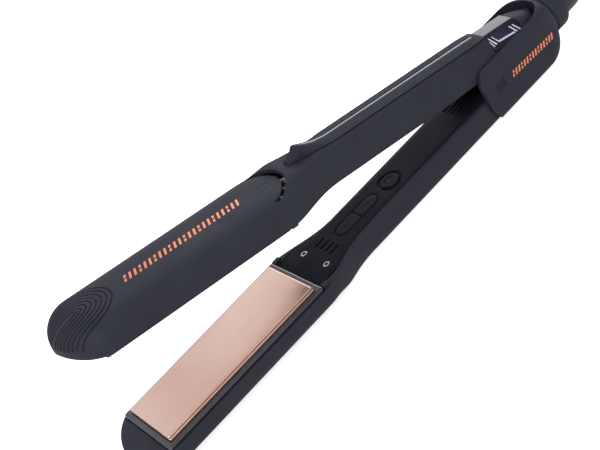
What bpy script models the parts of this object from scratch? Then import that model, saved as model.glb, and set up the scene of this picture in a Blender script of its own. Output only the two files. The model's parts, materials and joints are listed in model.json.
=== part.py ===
"""Flat iron: two hinged arms with floating heating plates, controls, a display and a swivel cord outlet.

Frame: origin under the hinge housing, on its flat rest face, directly below the hinge axis.
+X runs from the tips towards the cord, +Y across, +Z up.
The lower arm lies along -X with its plate facing up. The upper arm stands open by OPEN_ANGLE.
Both arms are built in one "arm frame" (closed, hinge axis at z = 0, outer casing towards +Z).
The lower arm's frame is turned half a turn about X; the upper arm's frame is turned about the hinge.
"""
import math

import bmesh
import bpy

MM = 0.001
GAP = 0.3 * MM
OPEN_ANGLE = 0.21302

# Casing, shared by both arms
HEAD_HALF_WIDTH = 24.6 * MM
HANDLE_HALF_WIDTH = 14.1 * MM
ROOT_HALF_WIDTH = 12.9 * MM
RIM_HEIGHT = 4.4 * MM
RIM_CHAMFER = 0.6 * MM
INNER_FACE = 3.6 * MM
HEAD_CROWN = 19.2 * MM
HEAD_FLAT = 19.0 * MM
HANDLE_CROWN = 22.7 * MM
HANDLE_FLAT = 21.3 * MM
CASING_POWER = 3.0
RIM_INSET = 2.2 * MM
WALL = 2.0 * MM
DECK = 5.8 * MM
NOSE_START = -256.0 * MM
NOSE_LENGTH = 19.6 * MM
NOSE_RIM_RISE = 2.4 * MM
NOSE_WIDTH_POWER = 1.16
NOSE_HEIGHT_POWER = 0.85
NOSE_ANGLES = (86, 74, 60, 45, 30, 15)
WAIST_START = -155.0 * MM
WAIST_END = -115.0 * MM
WAIST_LEAD = 1.15
STEP_ROOT = -135.0 * MM
STEP_TIP = -150.0 * MM
ROOT_START = -45.0 * MM
TAIL_CENTRE = 24.1 * MM
TAIL_POWER = 2.4
TAIL_ANGLES = (0, 20, 38, 54, 68, 80)
TAIL_DROP = 3.6 * MM

# Heating plate and its bezel
PLATE_NEAR = -157.0 * MM
PLATE_FAR = -258.0 * MM
PLATE_HALF_WIDTH = 19.8 * MM
PLATE_FACE = 0.2 * MM
PLATE_DEPTH = 4.5 * MM
PLATE_FLANGE = 1.2 * MM
PLATE_POCKET_FLOOR = 1.6 * MM
PLATE_POCKET_INSET = 1.8 * MM
HEATER_SEAT_HALF_WIDTH = 9.6 * MM
HEATER_TIP = -241.0 * MM
HEATER_ROOT = -174.0 * MM
SPRING_CENTRE = -207.5 * MM
SPRING_REACH = 34.0 * MM
BEZEL_NEAR = -153.8 * MM
BEZEL_FAR = -261.5 * MM
BEZEL_HALF_WIDTH = 22.6 * MM
BEZEL_FACE = 2.4 * MM
BEZEL_DEPTH = 9.0 * MM

# Inner panel, its slots and screws
PANEL_ROOT = -14.0 * MM
PANEL_END = -153.3 * MM
PANEL_HALF_WIDTH = 11.3 * MM
PANEL_THICKNESS = 1.6 * MM
TIP_SLOTS = (-135.2 * MM, -128.3 * MM)
ROOT_SLOTS = (-32.0 * MM, -22.0 * MM)
SLOT_HALF_WIDTH = 0.65 * MM
LOWER_SCREW = (-140.9 * MM, 9.7 * MM)
UPPER_SCREW = (-122.0 * MM, 8.4 * MM)
SCREW_HEAD_RADIUS = 1.9 * MM
SCREW_SHANK_RADIUS = 1.1 * MM
SCREW_HOLE_RADIUS = 1.5 * MM
BOSS_RADIUS = 3.2 * MM
LEADS_Y = 3.6 * MM

# Controls on the lower arm
POWER_X = -83.0 * MM
POWER_RADIUS = 5.4 * MM
POWER_DISH_RADIUS = 7.5 * MM
KEY_ROOT_END = -93.9 * MM
KEY_SPLIT = -108.4 * MM
KEY_TIP_END = -123.5 * MM
KEY_HALF_WIDTH = 4.5 * MM
KEY_FACE = 3.4 * MM
KEY_BACK = 5.6 * MM
PLUS_SWITCH_X = -101.0 * MM
MINUS_SWITCH_X = -116.0 * MM

# Hinge housing and cord outlet
HUB_LEFT = -18.3 * MM
HUB_SIDE_CENTRE_Z = -6.0 * MM
HUB_SIDE_RADIUS = 20.0 * MM
HUB_CORNER_RADIUS = 10.5 * MM
HUB_CORNER_TOP = 14.8 * MM
ARM_FULL_END = -8.6 * MM
HUB_HALF_WIDTH = 16.0 * MM
HUB_DEPTH = 22.8 * MM
HUB_FLAT = 22.2 * MM
HUB_TOP = 14.1 * MM
HUB_INNER_HALF_WIDTH = 13.3 * MM
HUB_ROUND_START = 30.3 * MM
HUB_END = 44.5 * MM
HUB_POWER = 3.4
HUB_TOP_POWER = 6.0
RECESS_DEPTH = 20.7 * MM
RECESS_STRAIGHT_END = 27.5 * MM
RECESS_ROUND_LENGTH = 14.2 * MM
NECK_RADIUS = 12.6 * MM
PIN_RADIUS = 2.0 * MM
PIN_HALF_LENGTH = 14.6 * MM

# Grip, display and vents on the upper arm
GRIP_STATIONS = (
    (-133.0, 4.0, 0.3), (-131.0, 5.2, 1.7), (-128.0, 5.9, 3.8), (-126.6, 6.1, 5.2), (-125.0, 6.4, 4.9),
    (-119.0, 7.0, 2.6), (-114.0, 7.4, 1.3), (-108.0, 7.7, 0.9), (-50.0, 7.7, 0.8), (-9.0, 7.7, 0.8),
    (-1.5, 6.6, 0.6),
)
STRIP_HALF_WIDTH = 2.0 * MM
STRIP_STATIONS = (-123.5, -119.0, -114.0, -108.0, -50.0, -9.0, -4.5)
VENT_COVER_X = -158.0 * MM
VENT_COVER_RADIUS = 17.0 * MM
VENT_SLOT_X = -157.0 * MM
VENT_SLOT_RADIUS = 17.8 * MM
LENS_TIP = -1.0 * MM
LENS_ROOT = 21.0 * MM
LENS_SIDE = 14.2 * MM
DOT_XS = (-147.4 * MM, -151.8 * MM, -156.2 * MM)


# ---------------------------------------------------------------- scene set-up

def clear_scene():
    for obj in list(bpy.data.objects):
        bpy.data.objects.remove(obj, do_unlink=True)


def new_collection(name):
    collection = bpy.data.collections.new(name)
    bpy.context.scene.collection.children.link(collection)
    return collection


clear_scene()
PARTS = new_collection("flat_iron")
CUTTERS = new_collection("flat_iron_cutters")


def new_pivot(name, rotation):
    pivot = bpy.data.objects.new(name, None)
    pivot.location = (0.0, 0.0, HUB_FLAT)
    pivot.rotation_euler = rotation
    PARTS.objects.link(pivot)
    return pivot


UPPER = new_pivot("upper_arm_pivot", (0.0, OPEN_ANGLE, 0.0))
LOWER = new_pivot("lower_arm_frame", (math.pi, 0.0, 0.0))
WORLD = new_pivot("hub_frame", (0.0, 0.0, 0.0))


def material(name, color, roughness, metallic=0.0):
    mat = bpy.data.materials.new(name)
    mat.use_nodes = True
    shader = mat.node_tree.nodes["Principled BSDF"]
    shader.inputs["Base Color"].default_value = (*color, 1.0)
    shader.inputs["Roughness"].default_value = roughness
    shader.inputs["Metallic"].default_value = metallic
    return mat


CASING = (0.040, 0.041, 0.056)
DARK = (0.012, 0.012, 0.015)
COPPER = (0.80, 0.50, 0.42)
STEEL = (0.55, 0.55, 0.57)


# ---------------------------------------------------------------- mesh helpers

def finish(name, bm, parent, mat=None):
    """Make an object from bm: a part when it has a material, a hidden cutter when it has none."""
    bmesh.ops.recalc_face_normals(bm, faces=bm.faces)
    mesh = bpy.data.meshes.new(name)
    bm.to_mesh(mesh)
    bm.free()
    obj = bpy.data.objects.new(name, mesh)
    obj.parent = parent
    if mat is None:
        CUTTERS.objects.link(obj)
        obj.hide_render = True
        obj.display_type = "WIRE"
    else:
        PARTS.objects.link(obj)
        mesh.materials.append(mat)
    return obj


def shade(obj, degrees=35.0):
    obj.data.shade_smooth()
    obj.data.set_sharp_from_angle(angle=math.radians(degrees))


def loft(name, loops, parent, mat=None):
    """Closed solid skinned over closed loops of points, capped at both ends."""
    bm = bmesh.new()
    rings = [[bm.verts.new(point) for point in loop] for loop in loops]
    count = len(rings[0])
    for first, second in zip(rings, rings[1:]):
        for i in range(count):
            j = (i + 1) % count
            bm.faces.new((first[i], first[j], second[j], second[i]))
    bm.faces.new(rings[0])
    bm.faces.new(rings[-1])
    return finish(name, bm, parent, mat)


def prism(name, outline, low, high, parent, mat=None):
    """Flat outline in XY, extruded from low to high."""
    bm = bmesh.new()
    face = bm.faces.new([bm.verts.new((x, y, low)) for x, y in outline])
    extruded = bmesh.ops.extrude_face_region(bm, geom=[face])
    top = [item for item in extruded["geom"] if isinstance(item, bmesh.types.BMVert)]
    bmesh.ops.translate(bm, verts=top, vec=(0.0, 0.0, high - low))
    return finish(name, bm, parent, mat)


def box(name, low, high, parent, mat=None):
    bm = bmesh.new()
    bmesh.ops.create_cube(bm, size=1.0)
    for vert in bm.verts:
        for axis in range(3):
            middle = (low[axis] + high[axis]) / 2
            vert.co[axis] = middle + vert.co[axis] * (high[axis] - low[axis])
    return finish(name, bm, parent, mat)


def cylinder(name, radius, start, length, axis, parent, mat=None, segments=24):
    """Cylinder from start, running length along the named axis."""
    bm = bmesh.new()
    bmesh.ops.create_cone(bm, cap_ends=True, segments=segments, radius1=radius, radius2=radius,
                          depth=length)
    for vert in bm.verts:
        x, y, z = vert.co
        along = z + length / 2
        vert.co = {"X": (along, x, y), "Y": (y, along, x), "Z": (x, y, along)}[axis]
    bmesh.ops.translate(bm, verts=bm.verts, vec=start)
    return finish(name, bm, parent, mat)


def turned(name, profile, parent, mat=None, steps=20):
    """Solid of revolution about X from (x, radius) pairs that start and end on the axis."""
    bm = bmesh.new()
    verts = [bm.verts.new((x, radius, 0.0)) for x, radius in profile]
    for first, second in zip(verts, verts[1:]):
        bm.edges.new((first, second))
    geometry = bm.verts[:] + bm.edges[:]
    bmesh.ops.spin(bm, geom=geometry, axis=(1, 0, 0), cent=(0, 0, 0), steps=steps, angle=2 * math.pi)
    bmesh.ops.remove_doubles(bm, verts=bm.verts, dist=1e-6)
    return finish(name, bm, parent, mat)


def tube(name, points, radius, parent, mat, resolution=2):
    """Round wire along points, with filled ends."""
    curve = bpy.data.curves.new(name, "CURVE")
    curve.dimensions = "3D"
    curve.bevel_depth = radius
    curve.bevel_resolution = resolution
    curve.use_fill_caps = True
    spline = curve.splines.new("POLY")
    spline.points.add(len(points) - 1)
    for point, place in zip(spline.points, points):
        point.co = (*place, 1.0)
    obj = bpy.data.objects.new(name, curve)
    obj.parent = parent
    curve.materials.append(mat)
    PARTS.objects.link(obj)
    return obj


def boolean(target, tool, operation):
    modifier = target.modifiers.new(tool.name, "BOOLEAN")
    modifier.operation = operation
    modifier.object = tool
    modifier.solver = "EXACT"


def cut(target, *tools):
    for tool in tools:
        boolean(target, tool, "DIFFERENCE")


def join(target, *tools):
    for tool in tools:
        boolean(target, tool, "UNION")


def arc(centre, radius, start, end, count):
    """Points on a circle from start to end degrees."""
    points = []
    for i in range(count):
        angle = math.radians(start + (end - start) * i / (count - 1))
        points.append((centre[0] + radius * math.cos(angle), centre[1] + radius * math.sin(angle)))
    return points


def pill(x0, x1, half_width, y=0.0, count=7):
    """Outline of a slot along X with round ends."""
    right = arc((x1 - half_width, y), half_width, -90, 90, count)
    left = arc((x0 + half_width, y), half_width, 90, 270, count)
    return right + left


def mirrored(half_outline):
    """Close an outline given for y >= 0, from one end on the centreline side to the other."""
    return half_outline + [(x, -y) for x, y in reversed(half_outline)]


# ---------------------------------------------------------------- casing shape, in the arm frame

def smooth(value, start, end):
    t = min(max((value - start) / (end - start), 0.0), 1.0)
    return t * t * (3.0 - 2.0 * t)


def waist_half_width(x):
    """Half width of the casing: narrow handle, wide head."""
    t = min(max((WAIST_END - x) / (WAIST_END - WAIST_START), 0.0), 1.0) ** WAIST_LEAD
    blend = t * t * (3.0 - 2.0 * t)
    return HANDLE_HALF_WIDTH + (HEAD_HALF_WIDTH - HANDLE_HALF_WIDTH) * blend


class Section:
    """Cross-section of a casing at x: a superellipse arch cut flat on top, on a chamfered rim."""

    def __init__(self, x):
        head = smooth(x, STEP_ROOT, STEP_TIP)
        self.x = x
        self.half_width = waist_half_width(x)
        self.rim = RIM_HEIGHT
        self.crown = HANDLE_CROWN + (HEAD_CROWN - HANDLE_CROWN) * head
        self.flat = HANDLE_FLAT + (HEAD_FLAT - HANDLE_FLAT) * head
        self.power = CASING_POWER

    def shrink(self, amount, floor):
        self.half_width -= amount
        self.crown -= amount
        self.flat -= amount
        self.rim = floor
        return self

    def loop(self, arch_points=12):
        points = []
        for i in range(arch_points + 1):
            angle = math.pi * i / arch_points
            side = math.copysign(abs(math.cos(angle)) ** (2 / self.power), math.cos(angle))
            rise = max(math.sin(angle), 0.0) ** (2 / self.power)
            height = self.rim + (self.crown - self.rim) * rise
            points.append((self.x, self.half_width * side, min(height, self.flat)))
        return points

    def rimmed_loop(self):
        inset = min(RIM_INSET, 0.3 * self.half_width)
        bottom = self.rim - RIM_CHAMFER
        low = [(self.x, -self.half_width + inset, bottom), (self.x, self.half_width - inset, bottom)]
        return self.loop() + low


def nose_section(angle):
    """Section on the rounded tip; angle runs from 0 at the straight part to 90 degrees at the tip."""
    swing = math.cos(math.radians(angle))
    section = Section(NOSE_START)
    section.x = NOSE_START - NOSE_LENGTH * math.sin(math.radians(angle))
    section.half_width *= swing ** NOSE_WIDTH_POWER
    section.rim += NOSE_RIM_RISE * math.sin(math.radians(angle)) ** 2
    section.crown = section.rim + (section.crown - section.rim) * swing ** NOSE_HEIGHT_POWER
    section.flat = min(section.flat, section.crown)
    return section


def straight_sections(root_x, waist_steps=7):
    """Sections from the start of the nose to root_x."""
    xs = [NOSE_START, -200 * MM]
    for i in range(waist_steps + 1):
        xs.append(WAIST_START + (WAIST_END - WAIST_START) * i / waist_steps)
    xs += [-100 * MM, -70 * MM, ROOT_START]
    return [Section(x) for x in xs if x < root_x]


def cavity_of(sections, floor=DECK):
    return [section.shrink(WALL, floor).loop() for section in sections]


def upper_tail_sections(wall=0.0):
    """Root of the upper arm: slimmer, rounder, ending in a half-round tail that slopes down.

    With a wall, the tail's length shrinks by it and its half width doesn't: the caller takes that off.
    """
    xs = [-30 * MM, -20 * MM, -8 * MM, LENS_TIP - GAP, 8 * MM, LENS_ROOT + GAP]
    sections = []
    for x in xs:
        section = Section(x)
        slim = smooth(x, ROOT_START, -20 * MM)
        section.half_width += (ROOT_HALF_WIDTH - HANDLE_HALF_WIDTH) * slim
        section.power += (TAIL_POWER - CASING_POWER) * smooth(x, xs[0], LENS_TIP)
        section.crown -= 1.0 * MM * smooth(x, -8 * MM, LENS_ROOT)
        section.flat = min(section.flat, section.crown)
        sections.append(section)
    end_top = sections[-1].crown
    radius = ROOT_HALF_WIDTH - wall
    for angle in TAIL_ANGLES:
        turn = math.radians(angle)
        section = Section(TAIL_CENTRE + radius * math.sin(turn))
        section.half_width = radius * math.cos(turn) + wall
        section.power = TAIL_POWER
        drop = (section.x - LENS_ROOT) / (TAIL_CENTRE + ROOT_HALF_WIDTH - LENS_ROOT)
        section.crown = end_top - TAIL_DROP * drop
        section.flat = section.crown
        sections.append(section)
    return sections


def panel_half_outline(inset):
    """Half outline of the inner panel, from the root to the head, inset from its opening."""
    points = [(PANEL_ROOT, PANEL_HALF_WIDTH - inset)]
    for x in (-115, -121, -127, -133, -139):
        points.append((x * MM, waist_half_width(x * MM) - WALL - GAP - inset))
    points += [(-144.5 * MM, 18.9 * MM - inset), (-150.6 * MM, 18.6 * MM - inset)]
    points += [(PANEL_END + inset, 17.0 * MM - inset)]
    return points


# ---------------------------------------------------------------- pieces that both arms have

def casing_loft(name, sections, parent, mat=None):
    return loft(name, [section.rimmed_loop() for section in sections], parent, mat)


def hollow_out(shell, side, parent, cavity_loops, screw):
    """Cut the cavity, the panel opening and the bezel opening, and add the screw bosses."""
    opening = mirrored(panel_half_outline(-GAP))
    root_x = opening[0][0] + 60 * MM
    opening = [(root_x, opening[0][1])] + opening + [(root_x, -opening[0][1])]
    panel_cut = prism(side + "_panel_cut", opening, 0.0, DECK + GAP, parent)
    bezel_cut = box(side + "_bezel_cut", (BEZEL_FAR - GAP, -BEZEL_HALF_WIDTH - GAP, 0.0),
                    (BEZEL_NEAR + GAP, BEZEL_HALF_WIDTH + GAP, BEZEL_DEPTH + GAP), parent)
    cavity = loft(side + "_cavity", cavity_loops, parent)
    cut(shell, cavity, panel_cut, bezel_cut)
    for mark, y in (("a", screw[1]), ("b", -screw[1])):
        boss = cylinder(side + "_boss_" + mark, BOSS_RADIUS, (screw[0], y, 6.2 * MM), 12.4 * MM, "Z",
                        parent, segments=14)
        pilot = cylinder(side + "_pilot_" + mark, SCREW_HOLE_RADIUS, (screw[0], y, 5.0 * MM), 9.0 * MM,
                         "Z", parent, segments=10)
        join(shell, boss)
        cut(shell, pilot)
    shade(shell)


def inner_panel(side, parent, screw):
    panel = prism(side + "_inner_panel", mirrored(panel_half_outline(0.0)), INNER_FACE,
                  INNER_FACE + PANEL_THICKNESS, parent, material(side + "_panel", CASING, 0.45))
    slots = [(TIP_SLOTS, y) for y in (-6.3, -2.1, 2.1, 6.3)]
    slots += [(ROOT_SLOTS, y) for y in (-7.5, -4.5, -1.5, 1.5, 4.5, 7.5)]
    for i, (ends, y) in enumerate(slots):
        outline = pill(ends[0], ends[1], SLOT_HALF_WIDTH, y * MM, 3)
        cut(panel, prism(f"{side}_panel_slot_{i}", outline, 3.0 * MM, 6.0 * MM, parent))
    for mark, y in (("a", screw[1]), ("b", -screw[1])):
        start = (screw[0], y, INNER_FACE - GAP)
        cut(panel, cylinder(f"{side}_screw_recess_{mark}", SCREW_HEAD_RADIUS + 0.4 * MM, start, 1.2 * MM,
                            "Z", parent, segments=14))
        cut(panel, cylinder(f"{side}_screw_hole_{mark}", SCREW_HOLE_RADIUS, start, 5.0 * MM, "Z", parent,
                            segments=10))
    return panel


def panel_screw(name, x, y, parent):
    screw = cylinder(name, SCREW_HEAD_RADIUS, (x, y, INNER_FACE + 0.1 * MM), 0.5 * MM, "Z", parent,
                     material(name, STEEL, 0.3, 1.0))
    shank = cylinder(name + "_shank", SCREW_SHANK_RADIUS, (x, y, INNER_FACE + GAP), 7.5 * MM, "Z", parent,
                     segments=12)
    recess = cylinder(name + "_drive", 0.9 * MM, (x, y, INNER_FACE - 1.0 * MM), 1.4 * MM, "Z", parent,
                      segments=6)
    join(screw, shank)
    cut(screw, recess)
    return screw


def bezel(side, parent):
    low = (BEZEL_FAR, -BEZEL_HALF_WIDTH, BEZEL_FACE)
    high = (BEZEL_NEAR, BEZEL_HALF_WIDTH, BEZEL_DEPTH)
    frame = box(side + "_bezel", low, high, parent, material(side + "_bezel", DARK, 0.15))
    window = box(side + "_bezel_window", (PLATE_FAR - GAP, -PLATE_HALF_WIDTH - GAP, 0.0),
                 (PLATE_NEAR + GAP, PLATE_HALF_WIDTH + GAP, 0.02), parent)
    rebate = box(side + "_bezel_rebate", (PLATE_FAR - 1.6 * MM, -PLATE_HALF_WIDTH - 1.6 * MM, 3.6 * MM),
                 (PLATE_NEAR + 1.6 * MM, PLATE_HALF_WIDTH + 1.6 * MM, 0.02), parent)
    cut(frame, window, rebate)
    return frame


def heating_plate(side, parent):
    plate = box(side + "_heating_plate", (PLATE_FAR, -PLATE_HALF_WIDTH, PLATE_FACE),
                (PLATE_NEAR, PLATE_HALF_WIDTH, PLATE_DEPTH), parent,
                material(side + "_rose_gold", COPPER, 0.22, 1.0))
    flange = box(side + "_plate_flange",
                 (PLATE_FAR - PLATE_FLANGE, -PLATE_HALF_WIDTH - PLATE_FLANGE, 4.0 * MM),
                 (PLATE_NEAR + PLATE_FLANGE, PLATE_HALF_WIDTH + PLATE_FLANGE, 5.2 * MM), parent)
    join(plate, flange)
    for mark, y in (("a", -9.2 * MM), ("b", 7.8 * MM)):
        rail = box(f"{side}_plate_rail_{mark}", (HEATER_TIP - 2 * MM, y, 5.0 * MM),
                   (HEATER_ROOT + 2 * MM, y + 1.4 * MM, 7.2 * MM), parent)
        join(plate, rail)
    tip, root = PLATE_FAR + PLATE_POCKET_INSET, PLATE_NEAR - PLATE_POCKET_INSET
    wall = PLATE_HALF_WIDTH - PLATE_POCKET_INSET
    pockets = (("near", (tip, HEATER_SEAT_HALF_WIDTH), (root, wall)),
               ("far", (tip, -wall), (root, -HEATER_SEAT_HALF_WIDTH)),
               ("tip", (tip, -wall), (HEATER_TIP - 3 * MM, wall)),
               ("root", (HEATER_ROOT + 3 * MM, -wall), (root, wall)))
    for mark, low, high in pockets:
        cut(plate, box(f"{side}_plate_pocket_{mark}", (*low, PLATE_POCKET_FLOOR), (*high, 9 * MM), parent))
    return plate


def plate_back(side, parent):
    """Heater, clamp, thermistor and fuse, all carried on the back of the heating plate."""
    box(side + "_heater", (HEATER_TIP, -7.2 * MM, 5.5 * MM), (HEATER_ROOT, 7.2 * MM, 7.0 * MM), parent,
        material(side + "_ceramic", (0.75, 0.73, 0.68), 0.6))
    tip, root = HEATER_TIP + 6 * MM, HEATER_ROOT - 6 * MM
    clamp = box(side + "_heater_clamp", (tip, -10.6 * MM, 7.5 * MM), (root, 10.6 * MM, 8.1 * MM),
                parent, material(side + "_clamp_steel", STEEL, 0.35, 1.0))
    for mark, y in (("a", -10.6 * MM), ("b", 10.0 * MM)):
        lug = box(f"{side}_clamp_side_{mark}", (tip, y, 5.6 * MM), (root, y + 0.6 * MM, 7.8 * MM), parent)
        join(clamp, lug)
    cylinder(side + "_thermistor", 1.1 * MM, (-190 * MM, 14.5 * MM, 2.8 * MM), 6 * MM, "X", parent,
             material(side + "_glass_bead", (0.5, 0.25, 0.1), 0.2), segments=12)
    cylinder(side + "_thermal_fuse", 1.6 * MM, (-225 * MM, 14.5 * MM, 3.3 * MM), 9 * MM, "X", parent,
             material(side + "_fuse_can", STEEL, 0.3, 1.0), segments=12)


def plate_spring(side, parent):
    """Arched leaf between the heater clamp and the casing."""
    outline = []
    for thickness, direction in ((0.0, 1), (0.6 * MM, -1)):
        for i in range(13):
            t = direction * (-1 + 2 * i / 12)
            outline.append((SPRING_CENTRE + SPRING_REACH * t, 8.8 * MM + 6.6 * MM * t * t + thickness))
    bm = bmesh.new()
    face = bm.faces.new([bm.verts.new((x, -4 * MM, z)) for x, z in outline])
    extruded = bmesh.ops.extrude_face_region(bm, geom=[face])
    far = [item for item in extruded["geom"] if isinstance(item, bmesh.types.BMVert)]
    bmesh.ops.translate(bm, verts=far, vec=(0.0, 8 * MM, 0.0))
    return finish(side + "_plate_spring", bm, parent, material(side + "_spring", STEEL, 0.3, 1.0))


def heater_leads(side, parent):
    """Sleeved wires from the handle to the back of the plate."""
    route = ((-40, 13), (-110, 13), (-132, 12.4), (-156, 12.4), (-170, 11.2))
    points = [(x * MM, LEADS_Y, z * MM) for x, z in route]
    tube(side + "_heater_leads", points, 1.5 * MM, parent, material(side + "_sleeve", (0.7, 0.68, 0.6), 0.8))


def common_pieces(side, parent, screw):
    inner_panel(side, parent, screw)
    panel_screw(side + "_panel_screw_a", screw[0], screw[1], parent)
    panel_screw(side + "_panel_screw_b", screw[0], -screw[1], parent)
    bezel(side, parent)
    heating_plate(side, parent)
    plate_back(side, parent)
    plate_spring(side, parent)
    heater_leads(side, parent)


# ---------------------------------------------------------------- upper arm

def crescent():
    """Outline of the vent: outside the head cover's round end, inside a second arc."""
    outer = arc((VENT_SLOT_X, 0.0), VENT_SLOT_RADIUS, -76, 76, 13)
    inner = arc((VENT_COVER_X, 0.0), VENT_COVER_RADIUS, 80, -80, 13)
    return outer + inner


def upper_shell():
    body = [nose_section(angle) for angle in NOSE_ANGLES] + straight_sections(ROOT_START)
    body += [Section(ROOT_START)] + upper_tail_sections()
    cavity = [nose_section(angle) for angle in NOSE_ANGLES[1:]] + straight_sections(ROOT_START)
    cavity += [Section(ROOT_START)] + upper_tail_sections(WALL)[:-2]
    shell = casing_loft("upper_outer_shell", body, UPPER, material("upper_casing", CASING, 0.55))
    hollow_out(shell, "upper", UPPER, cavity_of(cavity), UPPER_SCREW)
    cut(shell, prism("upper_vent_cut", crescent(), 13 * MM, 30 * MM, UPPER))
    cut(shell, box("upper_lens_cut", (LENS_TIP - GAP, -20 * MM, LENS_SIDE - GAP),
                   (LENS_ROOT + GAP, 20 * MM, 30 * MM), UPPER))
    cut(shell, box("upper_root_cut", (PANEL_ROOT, -10.6 * MM, 0.0), (30 * MM, 10.6 * MM, DECK + GAP), UPPER))
    for i, x in enumerate(DOT_XS):
        cut(shell, cylinder(f"upper_dot_cut_{i}", 0.8 * MM, (x, 0.0, 15 * MM), 8 * MM, "Z", UPPER,
                            segments=10))


def vent_grille():
    """Thin moulded insert under the crescent vent, with ribs left between its windows."""
    outline = arc((VENT_SLOT_X - 0.5 * MM, 0.0), VENT_SLOT_RADIUS - 0.2 * MM, -46, 46, 11)
    outline += arc((VENT_COVER_X - 1.0 * MM, 0.0), VENT_COVER_RADIUS - 2.4 * MM, 46, -46, 11)
    grille = prism("vent_grille", outline, 15.2 * MM, 16.4 * MM, UPPER, material("vent_grille", CASING, 0.5))
    reach = VENT_COVER_RADIUS - 0.9 * MM
    for i in range(5):
        turn = math.radians(-38 + 19 * i)
        start = (VENT_COVER_X + reach * math.cos(turn), reach * math.sin(turn), 14 * MM)
        cut(grille, cylinder(f"vent_window_{i}", 1.35 * MM, start, 4 * MM, "Z", UPPER, segments=8))


def grip_loop(x, half_width, base, height):
    """Cross-section of the raised grip: short upright sides and a crowned top."""
    side = min(0.2 * MM, 0.5 * height)
    loop = [(x, half_width, base), (x, half_width, base + side)]
    for i in range(1, 8):
        y = half_width * math.cos(math.pi * i / 8)
        rise = 1.0 - (abs(y) / half_width) ** 2.2
        loop.append((x, y, base + side + (height - side) * rise))
    loop += [(x, -half_width, base + side), (x, -half_width, base)]
    return loop


def grip_height(x):
    for (x0, _, low), (x1, _, high) in zip(GRIP_STATIONS, GRIP_STATIONS[1:]):
        if x0 * MM <= x <= x1 * MM:
            return (low + (high - low) * (x / MM - x0) / (x1 - x0)) * MM
    return GRIP_STATIONS[-1][2] * MM


def grip_ribbon(name, clearance, low, high, mat=None):
    """Ribbon along the crown of the grip, from low to high relative to the crown."""
    base = HANDLE_FLAT + GAP
    loops = []
    for x in STRIP_STATIONS:
        end = clearance * ((x == STRIP_STATIONS[-1]) - (x == STRIP_STATIONS[0]))
        crown = base + grip_height(x * MM)
        half = STRIP_HALF_WIDTH * min((x - STRIP_STATIONS[0]) / 12 + 0.25, 1.0) + clearance
        loops.append([(x * MM + end, y, crown + z) for y, z in
                      ((half, low), (half, high), (-half, high), (-half, low))])
    return loft(name, loops, UPPER, mat)


def grip():
    base = HANDLE_FLAT + GAP
    loops = [grip_loop(x * MM, half * MM, base, height * MM) for x, half, height in GRIP_STATIONS]
    body = loft("grip_insert", loops, UPPER, material("grip_insert", CASING, 0.7))
    cut(body, grip_ribbon("grip_groove", GAP, -0.5 * MM, 4 * MM))
    grip_ribbon("grip_strip", 0.0, -0.2 * MM, 0.2 * MM, material("grip_strip", DARK, 0.05))


def lens_loop(x, shrink, foot):
    """Trapezoid over the hinge end of the upper arm: narrow top, two sloping sides."""
    half_top = 5.1 * MM - 0.4 * shrink
    half_foot = 12.7 * MM - 1.15 * shrink
    top = 21.3 * MM - shrink
    shoulder = LENS_SIDE + 0.5 * MM - 0.4 * shrink
    half = [(half_foot, foot), (half_foot, shoulder), (half_top, top)]
    return [(x, y, z) for y, z in half] + [(x, -y, z) for y, z in reversed(half)]


def display():
    skin = 1.3 * MM
    outside = [lens_loop(x, 0.0, LENS_SIDE) for x in (LENS_TIP, LENS_ROOT)]
    inside = [lens_loop(x, skin, LENS_SIDE - 2 * MM) for x in (LENS_TIP + skin, LENS_ROOT - skin)]
    lens = loft("display_lens", outside, UPPER, material("display_lens", (0.03, 0.03, 0.05), 0.03))
    cut(lens, loft("lens_hollow", inside, UPPER))
    panel = box("lcd_module", (2 * MM, -2.8 * MM, -0.5 * MM), (18 * MM, 2.8 * MM, 0.5 * MM), UPPER,
                material("lcd_module", (0.05, 0.04, 0.12), 0.1))
    panel.location = (0.0, -7.2 * MM, 16.0 * MM)
    panel.rotation_euler = (math.radians(37.4), 0.0, 0.0)
    box("display_board", (1.5 * MM, -6.8 * MM, 9.4 * MM), (18.5 * MM, 6.8 * MM, 10.6 * MM), UPPER,
        material("display_board", (0.03, 0.16, 0.08), 0.5))


def light_guide():
    """Clear bar under the head cover with three short pins that show as dots."""
    guide = box("light_guide", (-159 * MM, -1.6 * MM, 13.4 * MM), (-144.5 * MM, 1.6 * MM, 14.8 * MM), UPPER,
                material("light_guide", (0.35, 0.36, 0.4), 0.2))
    for i, x in enumerate(DOT_XS):
        pin = cylinder(f"light_pin_{i}", 0.5 * MM, (x, 0.0, 14.5 * MM), 4.8 * MM, "Z", UPPER, segments=8)
        join(guide, pin)


def hinge_bracket():
    """Steel cradle in the root of the upper arm, with two ears on the hinge pin."""
    metal = material("hinge_bracket", STEEL, 0.4, 1.0)
    bracket = box("hinge_bracket", (-12 * MM, -9.4 * MM, 10.4 * MM), (-2.5 * MM, 9.4 * MM, 12.0 * MM),
                  UPPER, metal)
    for mark, y in (("a", -9.4 * MM), ("b", 7.2 * MM)):
        ear = box("bracket_ear_" + mark, (-6 * MM, y, 0.0), (6 * MM, y + 2.2 * MM, 11.4 * MM), UPPER)
        eye = cylinder("bracket_eye_" + mark, 6 * MM, (0.0, y, 0.0), 2.2 * MM, "Y", UPPER, segments=16)
        join(bracket, ear, eye)
    cut(bracket, cylinder("bracket_bore", PIN_RADIUS + GAP, (0.0, -20 * MM, 0.0), 40 * MM, "Y", UPPER))


def upper_arm():
    upper_shell()
    common_pieces("upper", UPPER, UPPER_SCREW)
    vent_grille()
    grip()
    display()
    light_guide()
    hinge_bracket()


# ---------------------------------------------------------------- lower arm

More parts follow.
